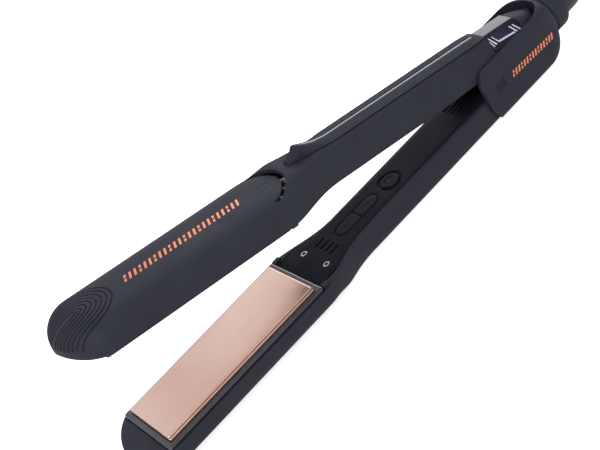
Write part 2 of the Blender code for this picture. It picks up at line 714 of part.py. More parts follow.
def spigot_sections(tip_x, root_x):
    """Narrow end of the lower shell that the hinge housing wraps."""
    sections = []
    for x in (tip_x, root_x):
        section = Section(x)
        section.half_width = 12.5 * MM
        section.rim += 0.1 * MM
        section.crown = 20.9 * MM
        section.flat = 20.0 * MM
        sections.append(section)
    return sections


def lower_shell():
    body = [nose_section(angle) for angle in NOSE_ANGLES] + straight_sections(0.0)
    body += [Section(HUB_LEFT), Section(ARM_FULL_END)]
    shell = casing_loft("lower_outer_shell", body, LOWER, material("lower_casing", CASING, 0.55))
    cut(shell, side_prism("hub_clearance", hub_side_outline(GAP), 40 * MM, WORLD))
    join(shell, casing_loft("spigot", spigot_sections(HUB_LEFT - 4 * MM, -8 * MM), LOWER))
    cavity = [nose_section(angle) for angle in NOSE_ANGLES[1:]] + straight_sections(0.0)
    cavity += [Section(HUB_LEFT - 5 * MM)] + spigot_sections(HUB_LEFT - 3 * MM, -5 * MM)
    hollow_out(shell, "lower", LOWER, cavity_of(cavity), LOWER_SCREW)


def key_outline(x0, x1, split_at_root):
    """Half of the pill: round at one end, straight at the split."""
    if split_at_root:
        round_end = arc((x0 + KEY_HALF_WIDTH, 0.0), KEY_HALF_WIDTH, 90, 270, 9)
        return round_end + [(x1, -KEY_HALF_WIDTH), (x1, KEY_HALF_WIDTH)]
    round_end = arc((x1 - KEY_HALF_WIDTH, 0.0), KEY_HALF_WIDTH, -90, 90, 9)
    return round_end + [(x0, KEY_HALF_WIDTH), (x0, -KEY_HALF_WIDTH)]


def controls():
    panel = bpy.data.objects["lower_inner_panel"]
    start = (POWER_X, 0.0, 0.0)
    dish_floor = INNER_FACE + 0.6 * MM
    cut(panel, cylinder("power_dish", POWER_DISH_RADIUS, start, dish_floor, "Z", LOWER, segments=20))
    cut(panel, cylinder("power_hole", POWER_RADIUS + GAP, start, 10 * MM, "Z", LOWER, segments=20))
    slot = pill(KEY_TIP_END - GAP, KEY_ROOT_END + GAP, KEY_HALF_WIDTH + GAP, 0.0, 9)
    cut(panel, prism("key_slot", slot, 0.0, 10 * MM, LOWER))

    cap = material("power_button", CASING, 0.4)
    button = cylinder("power_button", POWER_RADIUS, (POWER_X, 0.0, KEY_FACE), KEY_BACK - KEY_FACE, "Z",
                      LOWER, cap, 20)
    shade(button)
    plus = key_outline(KEY_SPLIT + 0.2 * MM, KEY_ROOT_END, False)
    prism("plus_key", plus, KEY_FACE, KEY_BACK, LOWER, material("plus_key", CASING, 0.4))
    minus = key_outline(KEY_TIP_END, KEY_SPLIT - 0.2 * MM, True)
    prism("minus_key", minus, KEY_FACE, KEY_BACK, LOWER, material("minus_key", CASING, 0.4))

    box("control_board", (-128 * MM, -9 * MM, 9.6 * MM), (-68 * MM, 9 * MM, 10.8 * MM), LOWER,
        material("control_board", (0.03, 0.16, 0.08), 0.5))
    switches = (("power_switch", POWER_X), ("plus_switch", PLUS_SWITCH_X), ("minus_switch", MINUS_SWITCH_X))
    for name, x in switches:
        metal = material(name, STEEL, 0.4, 1.0)
        switch = box(name, (x - 3 * MM, -3 * MM, 7.4 * MM), (x + 3 * MM, 3 * MM, 9.3 * MM), LOWER, metal)
        stem = cylinder(name + "_stem", 1.6 * MM, (x, 0.0, 6.5 * MM), 1.5 * MM, "Z", LOWER, segments=12)
        join(switch, stem)


# ---------------------------------------------------------------- hinge housing and cord outlet

def housing_section(x, half_width, depth, flat, top, power, top_power):
    loop = []
    for i in range(24):
        angle = 2 * math.pi * i / 24
        upper = math.sin(angle) > 0
        exponent = 2 / (top_power if upper else power)
        side = math.copysign(abs(math.cos(angle)) ** exponent, math.cos(angle))
        rise = abs(math.sin(angle)) ** exponent
        height = top * rise if upper else -min(depth * rise, flat)
        loop.append((x, half_width * side, height))
    return loop


def side_prism(name, outline, width, parent, mat=None):
    """Outline in XZ, extruded to both sides of y = 0 over the given width."""
    loops = [[(x, y, z) for x, z in outline] for y in (-width / 2, width / 2)]
    return loft(name, loops, parent, mat)


def hub_side_outline(clearance):
    """Side view of the hinge housing's open end, grown by the clearance."""
    side = (HUB_LEFT + HUB_SIDE_RADIUS, HUB_SIDE_CENTRE_Z)
    corner = (HUB_LEFT + HUB_CORNER_RADIUS, HUB_CORNER_TOP - HUB_CORNER_RADIUS)
    low = arc(side, HUB_SIDE_RADIUS + clearance, 240, 180, 9)
    top = arc(corner, HUB_CORNER_RADIUS + clearance, 180, 90, 9)
    right = 60 * MM
    return low + top + [(right, HUB_CORNER_TOP + clearance), (right, -30 * MM), (-5 * MM, -30 * MM)]


def hinge_housing():
    loops = []
    for x in (HUB_LEFT, HUB_ROUND_START):
        loops.append(housing_section(x, HUB_HALF_WIDTH, HUB_DEPTH, HUB_FLAT, HUB_TOP, HUB_POWER,
                                     HUB_TOP_POWER))
    for angle in (18, 36, 54, 72, 90):
        swing = math.cos(math.radians(angle))
        x = HUB_ROUND_START + (HUB_END - 1.6 * MM - HUB_ROUND_START) * math.sin(math.radians(angle))
        width = NECK_RADIUS + (HUB_HALF_WIDTH - NECK_RADIUS) * swing
        depth = NECK_RADIUS + (HUB_DEPTH - NECK_RADIUS) * swing
        flat = NECK_RADIUS + (HUB_FLAT - NECK_RADIUS) * swing
        top = NECK_RADIUS + (HUB_TOP - NECK_RADIUS) * swing
        loops.append(housing_section(x, width, depth, flat, top, 2 + (HUB_POWER - 2) * swing,
                                     2 + (HUB_TOP_POWER - 2) * swing))
    loops.append(housing_section(HUB_END, NECK_RADIUS, NECK_RADIUS, NECK_RADIUS, NECK_RADIUS, 2, 2))
    hub = loft("hinge_housing", loops, WORLD, material("hinge_housing", CASING, 0.55))

    recess = []
    square = 40
    for x in (HUB_LEFT - 5 * MM, RECESS_STRAIGHT_END):
        recess.append(housing_section(x, HUB_INNER_HALF_WIDTH, 21.0 * MM, RECESS_DEPTH, 40 * MM, HUB_POWER,
                                      square))
    for angle in TAIL_ANGLES[1:]:
        turn = math.radians(angle)
        x = RECESS_STRAIGHT_END + RECESS_ROUND_LENGTH * math.sin(turn)
        width = HUB_INNER_HALF_WIDTH * math.cos(turn)
        depth = (10 + 11 * math.cos(turn)) * MM
        recess.append(housing_section(x, width, depth, RECESS_DEPTH, 40 * MM, CASING_POWER, square))
    cut(hub, loft("hub_recess", recess, WORLD))

    boolean(hub, side_prism("hub_side_outline", hub_side_outline(0.0), 60 * MM, WORLD), "INTERSECT")
    reach = PIN_HALF_LENGTH + GAP
    cut(hub, cylinder("pin_hole", PIN_RADIUS + GAP, (0.0, -reach, 0.0), 2 * reach, "Y", WORLD))
    cut(hub, cylinder("swivel_hole", 5.3 * MM, (30 * MM, 0.0, 0.0), 30 * MM, "X", WORLD))
    shade(hub)


def hinge():
    cylinder("hinge_pin", PIN_RADIUS, (0.0, -PIN_HALF_LENGTH, 0.0), 2 * PIN_HALF_LENGTH, "Y", WORLD,
             material("hinge_pin", STEEL, 0.25, 1.0))
    turns = 4
    points = [(-11 * MM, -3.6 * MM, -5.5 * MM)]
    for i in range(turns * 12 + 1):
        angle = math.radians(-60 + 30 * i)
        points.append((-3.6 * MM * math.cos(angle), (-3.4 + 6.8 * i / (turns * 12)) * MM,
                       3.6 * MM * math.sin(angle)))
    points.append((-8 * MM, 3.8 * MM, 6.5 * MM))
    tube("hinge_spring", points, 0.6 * MM, WORLD, material("hinge_spring", STEEL, 0.3, 1.0), 1)
    tube("crossover_lead", [(-14 * MM, 5.4 * MM, -12 * MM), (4 * MM, 5.4 * MM, -12 * MM),
                            (12 * MM, 5.4 * MM, -5 * MM), (12 * MM, 5.4 * MM, 3 * MM)],
         1.3 * MM, WORLD, material("crossover_lead", (0.6, 0.05, 0.04), 0.7))


def cord_outlet():
    collar = [(42.3, 0), (42.3, 5.0), (44.8, 5.0), (44.8, 12.0), (45.8, 12.7), (47.0, 12.8), (52.8, 12.8),
              (54.2, 12.2), (55.5, 11.2), (56.0, 10.4), (56.0, 0)]
    shaped = turned("cord_swivel", [(x * MM, r * MM) for x, r in collar], WORLD,
                    material("cord_swivel", CASING, 0.5))
    shade(shaped)
    boot = [(56.3, 0), (56.3, 9.8), (66.0, 9.6)]
    for i in range(6):
        x = 68.0 + 5.0 * i
        radius = 9.4 - 0.7 * i
        boot += [(x, radius), (x + 0.4, radius - 1.1), (x + 1.9, radius - 1.2), (x + 2.3, radius - 0.2)]
    boot += [(99.0, 5.2), (100.0, 4.4), (100.0, 0)]
    relief = turned("strain_relief", [(x * MM, r * MM) for x, r in boot], WORLD,
                    material("strain_relief", CASING, 0.6), 14)
    shade(relief)
    cylinder("power_cord", 3.3 * MM, (100.3 * MM, 0.0, 0.0), 44 * MM, "X", WORLD,
             material("power_cord", DARK, 0.5))


def lower_arm():
    lower_shell()
    common_pieces("lower", LOWER, LOWER_SCREW)
    controls()
    hinge_housing()
    hinge()
    cord_outlet()


upper_arm()
lower_arm()
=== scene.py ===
import json
import math

import bmesh
import bpy
from mathutils import Matrix, Vector


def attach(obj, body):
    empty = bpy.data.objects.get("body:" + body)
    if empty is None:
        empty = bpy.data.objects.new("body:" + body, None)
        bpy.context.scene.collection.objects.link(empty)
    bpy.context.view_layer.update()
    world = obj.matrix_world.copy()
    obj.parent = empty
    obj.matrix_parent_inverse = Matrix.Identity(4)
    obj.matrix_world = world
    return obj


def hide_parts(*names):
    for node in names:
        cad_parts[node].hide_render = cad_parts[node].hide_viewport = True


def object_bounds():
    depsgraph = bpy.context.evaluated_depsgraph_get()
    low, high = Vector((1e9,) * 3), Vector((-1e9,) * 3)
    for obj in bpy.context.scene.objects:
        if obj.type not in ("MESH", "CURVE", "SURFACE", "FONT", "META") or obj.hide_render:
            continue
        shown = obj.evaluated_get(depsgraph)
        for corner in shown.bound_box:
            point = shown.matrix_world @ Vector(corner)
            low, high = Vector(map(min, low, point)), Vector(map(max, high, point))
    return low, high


# Looks of the flat iron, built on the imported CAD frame. Shapes are made in millimetres in the CAD's
# arm frame (closed arm, hinge axis at z = 0, outer casing towards +Z), then placed in metres.

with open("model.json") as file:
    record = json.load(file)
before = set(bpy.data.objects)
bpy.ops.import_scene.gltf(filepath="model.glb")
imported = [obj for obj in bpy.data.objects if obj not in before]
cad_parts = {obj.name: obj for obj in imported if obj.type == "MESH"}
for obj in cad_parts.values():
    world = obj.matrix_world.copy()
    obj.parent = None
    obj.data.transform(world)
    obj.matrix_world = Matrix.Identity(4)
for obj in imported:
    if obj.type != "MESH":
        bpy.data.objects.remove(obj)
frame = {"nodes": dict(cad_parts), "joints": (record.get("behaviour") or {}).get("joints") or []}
cad_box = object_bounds()

MM = 0.001
GAP = 0.3  # clearance between neighbouring pieces, mm
OPEN_ANGLE = 0.21302  # the upper arm's angle at rest, radians

# Casing shape, as in the CAD (mm)
HEAD_HALF_WIDTH = 24.6
HANDLE_HALF_WIDTH = 14.1
ROOT_HALF_WIDTH = 12.9
RIM_HEIGHT = 4.4
RIM_DROP = 0.6
RIM_INSET = 2.2
HEAD_CROWN = 19.2
HEAD_FLAT = 19.0
HANDLE_CROWN = 22.7
HANDLE_FLAT = 21.3
CASING_POWER = 3.0
TAIL_POWER = 2.4
WALL = 2.0
DECK = 5.8
NOSE_START = -256.0
NOSE_LENGTH = 19.6
NOSE_RIM_RISE = 2.4
NOSE_WIDTH_POWER = 1.16
NOSE_HEIGHT_POWER = 0.85
WAIST_START = -155.0
WAIST_END = -115.0
WAIST_LEAD = 1.15
STEP_ROOT = -135.0
STEP_TIP = -150.0
ROOT_START = -45.0
LENS_TIP = -1.0
LENS_ROOT = 21.0
LENS_SIDE = 14.2
TAIL_CENTRE = 24.1
TAIL_DROP = 3.6
COVER_X = -158.0
COVER_RADIUS = 17.0
SLOT_X = -157.0
SLOT_RADIUS = 18.5
DOT_XS = (-147.4, -151.8, -156.2)
PIN_XS = (26.6, 29.8)

# Sampling of the casing
SHOULDER = 0.8
SIDE_STEPS = 20
TOP_STEPS = 100

# Tip grooves
GROOVES = 8
GROOVE_CENTRE = -265.5
GROOVE_LENGTH = 25.0
GROOVE_HALF_WIDTH = 17.8
GROOVE_LENGTH_STEP = 2.6
GROOVE_WIDTH_STEP = 2.25
GROOVE_RADIUS = 0.6
GROOVE_DEPTH = 0.75
GROOVE_FOOT = 9.5

# Inner face
INNER_FACE = 3.6
PANEL_ROOT = -14.0
PANEL_END = -153.3
PANEL_HALF_WIDTH = 11.3
PANEL_BACK = 5.2
PANEL_WIDEST = 18.9
PLATE_BORDER = 1.2  # the CAD plate reaches this far under its bezel
KEY_SLOT_HALF_WIDTH = 4.5

# Hinge housing
HUB_LEFT = -18.3
HUB_SIDE_CENTRE_Z = -6.0
HUB_SIDE_RADIUS = 20.0
HUB_CORNER_RADIUS = 10.5
HUB_CORNER_TOP = 14.8
ARM_FULL_END = -8.6
HUB_HALF_WIDTH = 16.0
HUB_DEPTH = 22.8
HUB_FLAT = 22.2
HUB_TOP = 14.1
HUB_POWER = 3.4
HUB_TOP_POWER = 6.0
HUB_ROUND_START = 30.3
HUB_END = 44.5
HUB_NECK_START = HUB_END - 1.6
HUB_INNER_HALF_WIDTH = 13.3
NECK_RADIUS = 12.6
RECESS_STRAIGHT_END = 27.5
RECESS_ROUND_LENGTH = 14.2
HOUSING_STEPS = 96

GRIP_BASE = HANDLE_FLAT + GAP

hinge = next(joint for joint in frame["joints"] if joint["name"] == "arm_hinge")
TO_HINGE = Matrix.Translation(hinge["pos_m"])
TO_METRES = Matrix.Scale(MM, 4)
PLACE = {
    "upper": TO_HINGE @ Matrix.Rotation(OPEN_ANGLE, 4, "Y") @ TO_METRES,
    "lower": TO_HINGE @ Matrix.Rotation(math.pi, 4, "X") @ TO_METRES,
    "hub": TO_HINGE @ TO_METRES,
}
ARM_BODY = {"upper": "upper_arm", "lower": "lower_arm", "hub": "lower_arm"}


def local_box(node, side):
    """Lowest and highest corner of a CAD node, in millimetres in its own arm frame."""
    inverse = PLACE[side].inverted()
    points = [inverse @ vert.co for vert in frame["nodes"][node].data.vertices]
    low = Vector([min(point[axis] for point in points) for axis in range(3)])
    high = Vector([max(point[axis] for point in points) for axis in range(3)])
    return low, high


# --- materials

def linear(red, green, blue):
    """Linear colour from 0-255 display values."""
    def channel(value):
        value /= 255
        return value / 12.92 if value <= 0.04045 else ((value + 0.055) / 1.055) ** 2.4
    return (channel(red), channel(green), channel(blue), 1.0)


class Graph:
    """Short-hand for building a node tree on a new material."""

    def __init__(self, name):
        self.material = bpy.data.materials.new(name)
        self.material.use_nodes = True
        self.tree = self.material.node_tree
        self.shader = self.tree.nodes["Principled BSDF"]
        self.place = self.add("ShaderNodeTexCoord").outputs["Object"]

    def add(self, kind, **values):
        node = self.tree.nodes.new(kind)
        for key, value in values.items():
            setattr(node, key, value)
        return node

    def feed(self, node, inputs):
        """Link or set a node's inputs, by name or number. Returns its outputs."""
        for key, value in inputs.items():
            if isinstance(value, bpy.types.NodeSocket):
                self.tree.links.new(value, node.inputs[key])
            else:
                node.inputs[key].default_value = value
        return node.outputs

    def stretch(self, scale):
        inputs = {"Vector": self.place, "Scale": scale}
        return self.feed(self.add("ShaderNodeMapping"), inputs)["Vector"]

    def noise(self, scale, detail=3.0, vector=None, distortion=0.0):
        inputs = {"Vector": vector or self.place, "Scale": scale, "Detail": detail,
                  "Distortion": distortion}
        return self.feed(self.add("ShaderNodeTexNoise"), inputs)["Fac"]

    def cells(self, scale):
        inputs = {"Vector": self.place, "Scale": scale}
        return self.feed(self.add("ShaderNodeTexVoronoi"), inputs)["Distance"]

    def wave(self, scale, direction="X", distortion=0.0):
        node = self.add("ShaderNodeTexWave", bands_direction=direction)
        inputs = {"Vector": self.place, "Scale": scale, "Distortion": distortion}
        return self.feed(node, inputs)["Fac"]

    def remap(self, value, low, high, to_low, to_high):
        inputs = dict(enumerate((value, low, high, to_low, to_high)))
        return self.feed(self.add("ShaderNodeMapRange"), inputs)["Result"]

    def math(self, operation, first, second=0.0):
        node = self.add("ShaderNodeMath", operation=operation)
        return self.feed(node, {0: first, 1: second})["Value"]

    def mix(self, factor, first, second):
        node = self.add("ShaderNodeMix", data_type="RGBA")
        return self.feed(node, {"Factor": factor, 6: first, 7: second})[2]

    def rounded(self, radius):
        """Normal with every edge rounded by radius, and how far it leans from the true normal."""
        bevel = self.feed(self.add("ShaderNodeBevel", samples=4), {"Radius": radius})["Normal"]
        true = self.add("ShaderNodeNewGeometry").outputs["Normal"]
        dot = self.add("ShaderNodeVectorMath", operation="DOT_PRODUCT")
        lean = self.feed(dot, {0: bevel, 1: true})["Value"]
        return bevel, self.remap(lean, 0.99, 0.85, 0.0, 1.0)

    def bump(self, height, distance, normal=None):
        inputs = {"Height": height, "Distance": distance, "Strength": 1.0}
        if normal is not None:
            inputs["Normal"] = normal
        return self.feed(self.add("ShaderNodeBump"), inputs)["Normal"]

    def finish(self, color, roughness, normal, metallic=0.0, specular=0.5, coat=0.0):
        self.feed(self.shader, {"Base Color": color, "Roughness": roughness, "Normal": normal,
                                "Metallic": metallic, "Specular IOR Level": specular,
                                "Coat Weight": coat, "Coat Roughness": 0.06})
        return self.material


def shade_of(color, factor):
    return (color[0] * factor, color[1] * factor, color[2] * factor, 1.0)


def moulded(name, color, roughness, grain=2600.0, grain_height=0.00002, specular=0.3, wear=0.35,
            coat=0.0):
    """Moulded or painted plastic: fine grain, faint mottling and smudges, lighter rubbed edges."""
    g = Graph(name)
    normal, worn = g.rounded(0.0003)
    mottle = g.noise(70.0, 4.0)
    smudge = g.noise(22.0, 2.0, distortion=0.8)
    base = g.mix(g.remap(mottle, 0.3, 0.7, 0.0, 1.0), shade_of(color, 0.9), shade_of(color, 1.1))
    patches = g.remap(g.noise(900.0, 3.0), 0.42, 0.62, 0.0, 1.0)
    rubbed = g.math("MULTIPLY", g.math("MULTIPLY", worn, patches), wear)
    base = g.mix(rubbed, base, shade_of(color, 2.4))
    gloss = g.math("ADD", g.remap(smudge, 0.35, 0.7, roughness + 0.04, roughness - 0.05),
                   g.remap(g.noise(1500.0, 2.0), 0.0, 1.0, -0.04, 0.04))
    bumpy = g.bump(g.noise(grain, 3.0), grain_height, normal)
    return g.finish(base, gloss, bumpy, specular=specular, coat=coat)


def metal(name, color, roughness, grain=(60.0, 4000.0, 4000.0)):
    """Metal with fine drawn lines along one direction and uneven polish."""
    g = Graph(name)
    normal, worn = g.rounded(0.0002)
    lines = g.noise(1.0, 3.0, g.stretch(grain))
    tint = g.mix(g.remap(g.noise(40.0, 3.0), 0.3, 0.7, 0.0, 1.0), shade_of(color, 0.93), color)
    tint = g.mix(g.math("MULTIPLY", worn, 0.4), tint, shade_of(color, 1.25))
    gloss = g.remap(lines, 0.2, 0.8, roughness * 0.75, roughness * 1.3)
    return g.finish(tint, gloss, g.bump(lines, 0.000004, normal), metallic=1.0)


def plate_coating():
    """Polished rose-gold coating: slight waviness, tiny flakes and faint lapping lines."""
    g = Graph("rose_gold_coating")
    normal, worn = g.rounded(0.0003)
    lapping = g.noise(1.0, 2.0, g.stretch((25.0, 2200.0, 2200.0)))
    flakes = g.cells(3500.0)
    deep, pale = linear(206, 168, 150), linear(228, 197, 184)
    tint = g.mix(g.remap(g.noise(14.0, 2.0), 0.3, 0.7, 0.0, 1.0), deep, pale)
    tint = g.mix(g.remap(flakes, 0.0, 0.5, 0.22, 0.0), tint, linear(250, 226, 214))
    tint = g.mix(g.math("MULTIPLY", worn, 0.5), tint, linear(255, 214, 190))
    gloss = g.remap(lapping, 0.25, 0.75, 0.26, 0.36)
    return g.finish(tint, gloss, g.bump(g.noise(90.0, 2.0), 0.00002, normal), metallic=1.0)


def board_finish():
    g = Graph("circuit_board")
    grid = g.math("MAXIMUM", g.wave(260.0, "X", 3.0), g.wave(310.0, "Y", 4.0))
    traces = g.remap(grid, 0.86, 0.9, 0.0, 1.0)
    pads = g.remap(g.cells(420.0), 0.1, 0.14, 1.0, 0.0)
    base = g.mix(traces, (0.010, 0.055, 0.025, 1.0), (0.020, 0.11, 0.05, 1.0))
    base = g.mix(pads, base, (0.55, 0.42, 0.2, 1.0))
    return g.finish(base, 0.38, g.bump(g.math("ADD", traces, pads), 0.00004))


def sleeve_finish(name, color):
    """Braided sleeve: two crossing sets of strands."""
    g = Graph(name)
    strands = g.math("MAXIMUM", g.wave(420.0, "DIAGONAL", 0.4), g.wave(420.0, "X", 0.4))
    base = g.mix(g.remap(strands, 0.4, 1.0, 0.0, 1.0), shade_of(color, 0.55), color)
    return g.finish(base, 0.8, g.bump(strands, 0.00012))


def speckled(name, color, speck, roughness, scale=1200.0):
    g = Graph(name)
    dots = g.remap(g.noise(scale, 2.0), 0.62, 0.7, 0.0, 1.0)
    normal = g.bump(g.noise(scale * 1.6, 3.0), 0.00002, g.rounded(0.0002)[0])
    return g.finish(g.mix(dots, color, speck), roughness, normal)


def smoked(name, color, roughness, specular):
    """Smooth glossy window plastic with faint wipe marks."""
    g = Graph(name)
    wipes = g.noise(1.0, 2.0, g.stretch((300.0, 1800.0, 300.0)))
    base = g.mix(g.remap(g.noise(60.0), 0.3, 0.7, 0.0, 1.0), shade_of(color, 0.8), color)
    gloss = g.remap(wipes, 0.4, 0.8, roughness, roughness + 0.05)
    normal = g.bump(g.noise(35.0, 1.0), 0.00001, g.rounded(0.00025)[0])
    return g.finish(base, gloss, normal, specular=specular)


def screen_finish():
    """Unlit display: deep violet glass with uneven tint and a faint raster."""
    g = Graph("screen")
    raster = g.remap(g.wave(900.0, "X"), 0.0, 1.0, 0.0, 0.25)
    clouds = g.remap(g.noise(90.0, 1.0), 0.35, 0.65, 0.0, 1.0)
    tint = g.mix(clouds, (0.006, 0.005, 0.017, 1.0), (0.022, 0.018, 0.062, 1.0))
    tint = g.mix(raster, tint, (0.011, 0.009, 0.030, 1.0))
    return g.finish(tint, 0.12, g.bump(raster, 0.000004), specular=0.15)


CHARCOAL = (0.0118, 0.0127, 0.0208, 1.0)
MATERIALS = {
    "casing": moulded("soft_touch_casing", CHARCOAL, 0.66, specular=0.24),
    "panel": moulded("inner_panel", shade_of(CHARCOAL, 0.42), 0.6, 3200.0, specular=0.07),
    "key": moulded("key_caps", shade_of(CHARCOAL, 0.46), 0.55, specular=0.08, wear=0.5),
    "grip": moulded("grip_rubber", CHARCOAL, 0.68, 1800.0, 0.00004, specular=0.2),
    "bezel": moulded("bezel_gloss", (0.020, 0.020, 0.028, 1.0), 0.20, 900.0, 0.000006, specular=0.5,
                     wear=0.6, coat=0.3),
    "vent": moulded("vent_insert", shade_of(CHARCOAL, 2.2), 0.5, specular=0.3),
    "strip": smoked("strip_gloss", (0.010, 0.012, 0.020, 1.0), 0.10, 0.4),
    "lens": smoked("lens_gloss", (0.004, 0.004, 0.010, 1.0), 0.16, 0.17),
    "guide": smoked("light_guide", (0.03, 0.03, 0.045, 1.0), 0.2, 0.4),
    "screen": screen_finish(),
    "cable": moulded("cable_rubber", (0.014, 0.015, 0.024, 1.0), 0.5, 1500.0, 0.00003, 0.35),
    "rose_gold": plate_coating(),
    "print": metal("copper_print", linear(236, 142, 104), 0.42, (900.0, 900.0, 900.0)),
    "steel": metal("steel", (0.40, 0.40, 0.43, 1.0), 0.32),
    "bright": metal("bright_trim", (0.60, 0.60, 0.65, 1.0), 0.3, (2000.0, 60.0, 60.0)),
    # Steel darkened as painted shade: it darkens the hinge bracket in the shaded hinge interior and the
    # discs set in the screw recesses.
    "shade_dark_steel": metal("steel_painted_shade", (0.045, 0.045, 0.055, 1.0), 0.42),
    "spring": metal("spring_steel", (0.20, 0.20, 0.22, 1.0), 0.3, (1500.0, 1500.0, 1500.0)),
    "board": board_finish(),
    "sleeve": sleeve_finish("braided_sleeve", (0.62, 0.58, 0.48, 1.0)),
    "red_sleeve": sleeve_finish("lead_sleeve", (0.16, 0.015, 0.012, 1.0)),
    "ceramic": speckled("ceramic", (0.72, 0.70, 0.64, 1.0), (0.5, 0.46, 0.38, 1.0), 0.55),
    "bead": speckled("glass_bead", (0.35, 0.12, 0.04, 1.0), (0.55, 0.25, 0.1, 1.0), 0.15, 2500.0),
}


# --- mesh tools

def new_object(name, bm):
    bmesh.ops.recalc_face_normals(bm, faces=bm.faces)
    mesh = bpy.data.meshes.new(name)
    bm.to_mesh(mesh)
    bm.free()
    obj = bpy.data.objects.new(name, mesh)
    bpy.context.scene.collection.objects.link(obj)
    return obj


def skin(name, loops, around=False):
    """Closed surface over closed loops of points: capped at both ends, or joined around."""
    bm = bmesh.new()
    rings = [[bm.verts.new(point) for point in loop] for loop in loops]
    count = len(rings[0])
    pairs = list(zip(rings, rings[1:])) + ([(rings[-1], rings[0])] if around else [])
    for first, second in pairs:
        for i in range(count):
            j = (i + 1) % count
            bm.faces.new((first[i], first[j], second[j], second[i]))
    if not around:
        bm.faces.new(rings[0])
        bm.faces.new(rings[-1])
    return new_object(name, bm)


def prism(name, outline, low, high):
    """Outline in XY, extruded from z = low to z = high."""
    return skin(name, [[(x, y, z) for x, y in outline] for z in (low, high)])


def block(name, low, high):
    x0, y0, z0 = low
    x1, y1, z1 = high
    return prism(name, [(x0, y0), (x1, y0), (x1, y1), (x0, y1)], z0, z1)


def side_prism(name, outline, reach):
    """Outline in XZ, extruded from y = -reach to y = reach."""
    return skin(name, [[(x, y, z) for x, z in outline] for y in (-reach, reach)])


def revolve(name, profile, centre=(0.0, 0.0), axis="Z", steps=48):
    """Solid turned about an axis from (radius, height) pairs. It is capped at both ends."""
    loops = []
    for radius, height in profile:
        loop = []
        for i in range(steps):
            angle = 2 * math.pi * i / steps
            a, b = radius * math.cos(angle), radius * math.sin(angle)
            loop.append((centre[0] + a, centre[1] + b, height) if axis == "Z" else (height, a, b))
        loops.append(loop)
    return skin(name, loops)


def tube(name, points, radius, steps):
    """Round rod along a path, capped at both ends."""
    points = [Vector(point) for point in points]
    side = Vector((0.0, 0.0, 1.0))
    loops = []
    for i, point in enumerate(points):
        ahead = (points[min(i + 1, len(points) - 1)] - points[max(i - 1, 0)]).normalized()
        if abs(ahead.dot(side)) > 0.95:
            side = Vector((0.0, 1.0, 0.0))
        across = ahead.cross(side).normalized()
        up = across.cross(ahead)
        loops.append([point + across * radius * math.cos(t) + up * radius * math.sin(t)
                      for t in (2 * math.pi * k / steps for k in range(steps))])
    return skin(name, loops)


def settle(obj):
    """Replace an object's mesh by the result of its modifiers."""
    bpy.context.view_layer.update()
    graph = bpy.context.evaluated_depsgraph_get()
    mesh = bpy.data.meshes.new_from_object(obj.evaluated_get(graph))
    obj.modifiers.clear()
    obj.data = mesh


def combine(obj, tools, operation="DIFFERENCE"):
    for tool in tools:
        modifier = obj.modifiers.new("combine", "BOOLEAN")
        modifier.operation = operation
        modifier.object = tool
        modifier.solver = "MANIFOLD"
        settle(obj)
        bpy.data.objects.remove(tool, do_unlink=True)
    return obj


def put(obj, side, material, stands_for=(), body=None, sharp=32.0):
    """Place a finished shape in the row frame, give it its material and let it ride on its body."""
    obj.data.transform(PLACE[side])
    obj.data.materials.clear()
    obj.data.materials.append(MATERIALS[material])
    obj.data.shade_smooth()
    obj.data.set_sharp_from_angle(angle=math.radians(sharp))
    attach(obj, body or ARM_BODY[side])
    if stands_for:
        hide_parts(*stands_for)


def arc(centre, radius, start, end, count):
    points = []
    for i in range(count):
        angle = math.radians(start + (end - start) * i / (count - 1))
        points.append((centre[0] + radius * math.cos(angle), centre[1] + radius * math.sin(angle)))
    return points


def pill(x0, x1, half_width, y, count):
    right = arc((x1 - half_width, y), half_width, -90, 90, count)
    return right + arc((x0 + half_width, y), half_width, 90, 270, count)


def span(start, end, steps):
    """Evenly spaced values from start up to, but not including, end."""
    return [start + (end - start) * i / steps for i in range(steps)]


def spans(*parts):
    return [x for part in parts for x in span(*part)]


def plan_circle(node, side):
    """Lowest corner of a round CAD node, its centre seen along Z and its radius."""
    low, high = local_box(node, side)
    return low, ((low.x + high.x) / 2, (low.y + high.y) / 2), (high.x - low.x) / 2


def hub_side_outline(clearance):
    """Side view of the hinge housing's open end in XZ, grown by the clearance."""
    side = (HUB_LEFT + HUB_SIDE_RADIUS, HUB_SIDE_CENTRE_Z)
    corner = (HUB_LEFT + HUB_CORNER_RADIUS, HUB_CORNER_TOP - HUB_CORNER_RADIUS)
    low = arc(side, HUB_SIDE_RADIUS + clearance, 240, 180, 41)
    top = arc(corner, HUB_CORNER_RADIUS + clearance, 180, 90, 31)
    return low + top + [(60.0, HUB_CORNER_TOP + clearance), (60.0, -30.0), (-5.0, -30.0)]


# --- casings

def ease(value, start, end):
    t = min(max((value - start) / (end - start), 0.0), 1.0)
    return t * t * (3.0 - 2.0 * t)


def waist_half_width(x):
    t = min(max((WAIST_END - x) / (WAIST_END - WAIST_START), 0.0), 1.0) ** WAIST_LEAD
    return HANDLE_HALF_WIDTH + (HEAD_HALF_WIDTH - HANDLE_HALF_WIDTH) * ease(t, 0.0, 1.0)


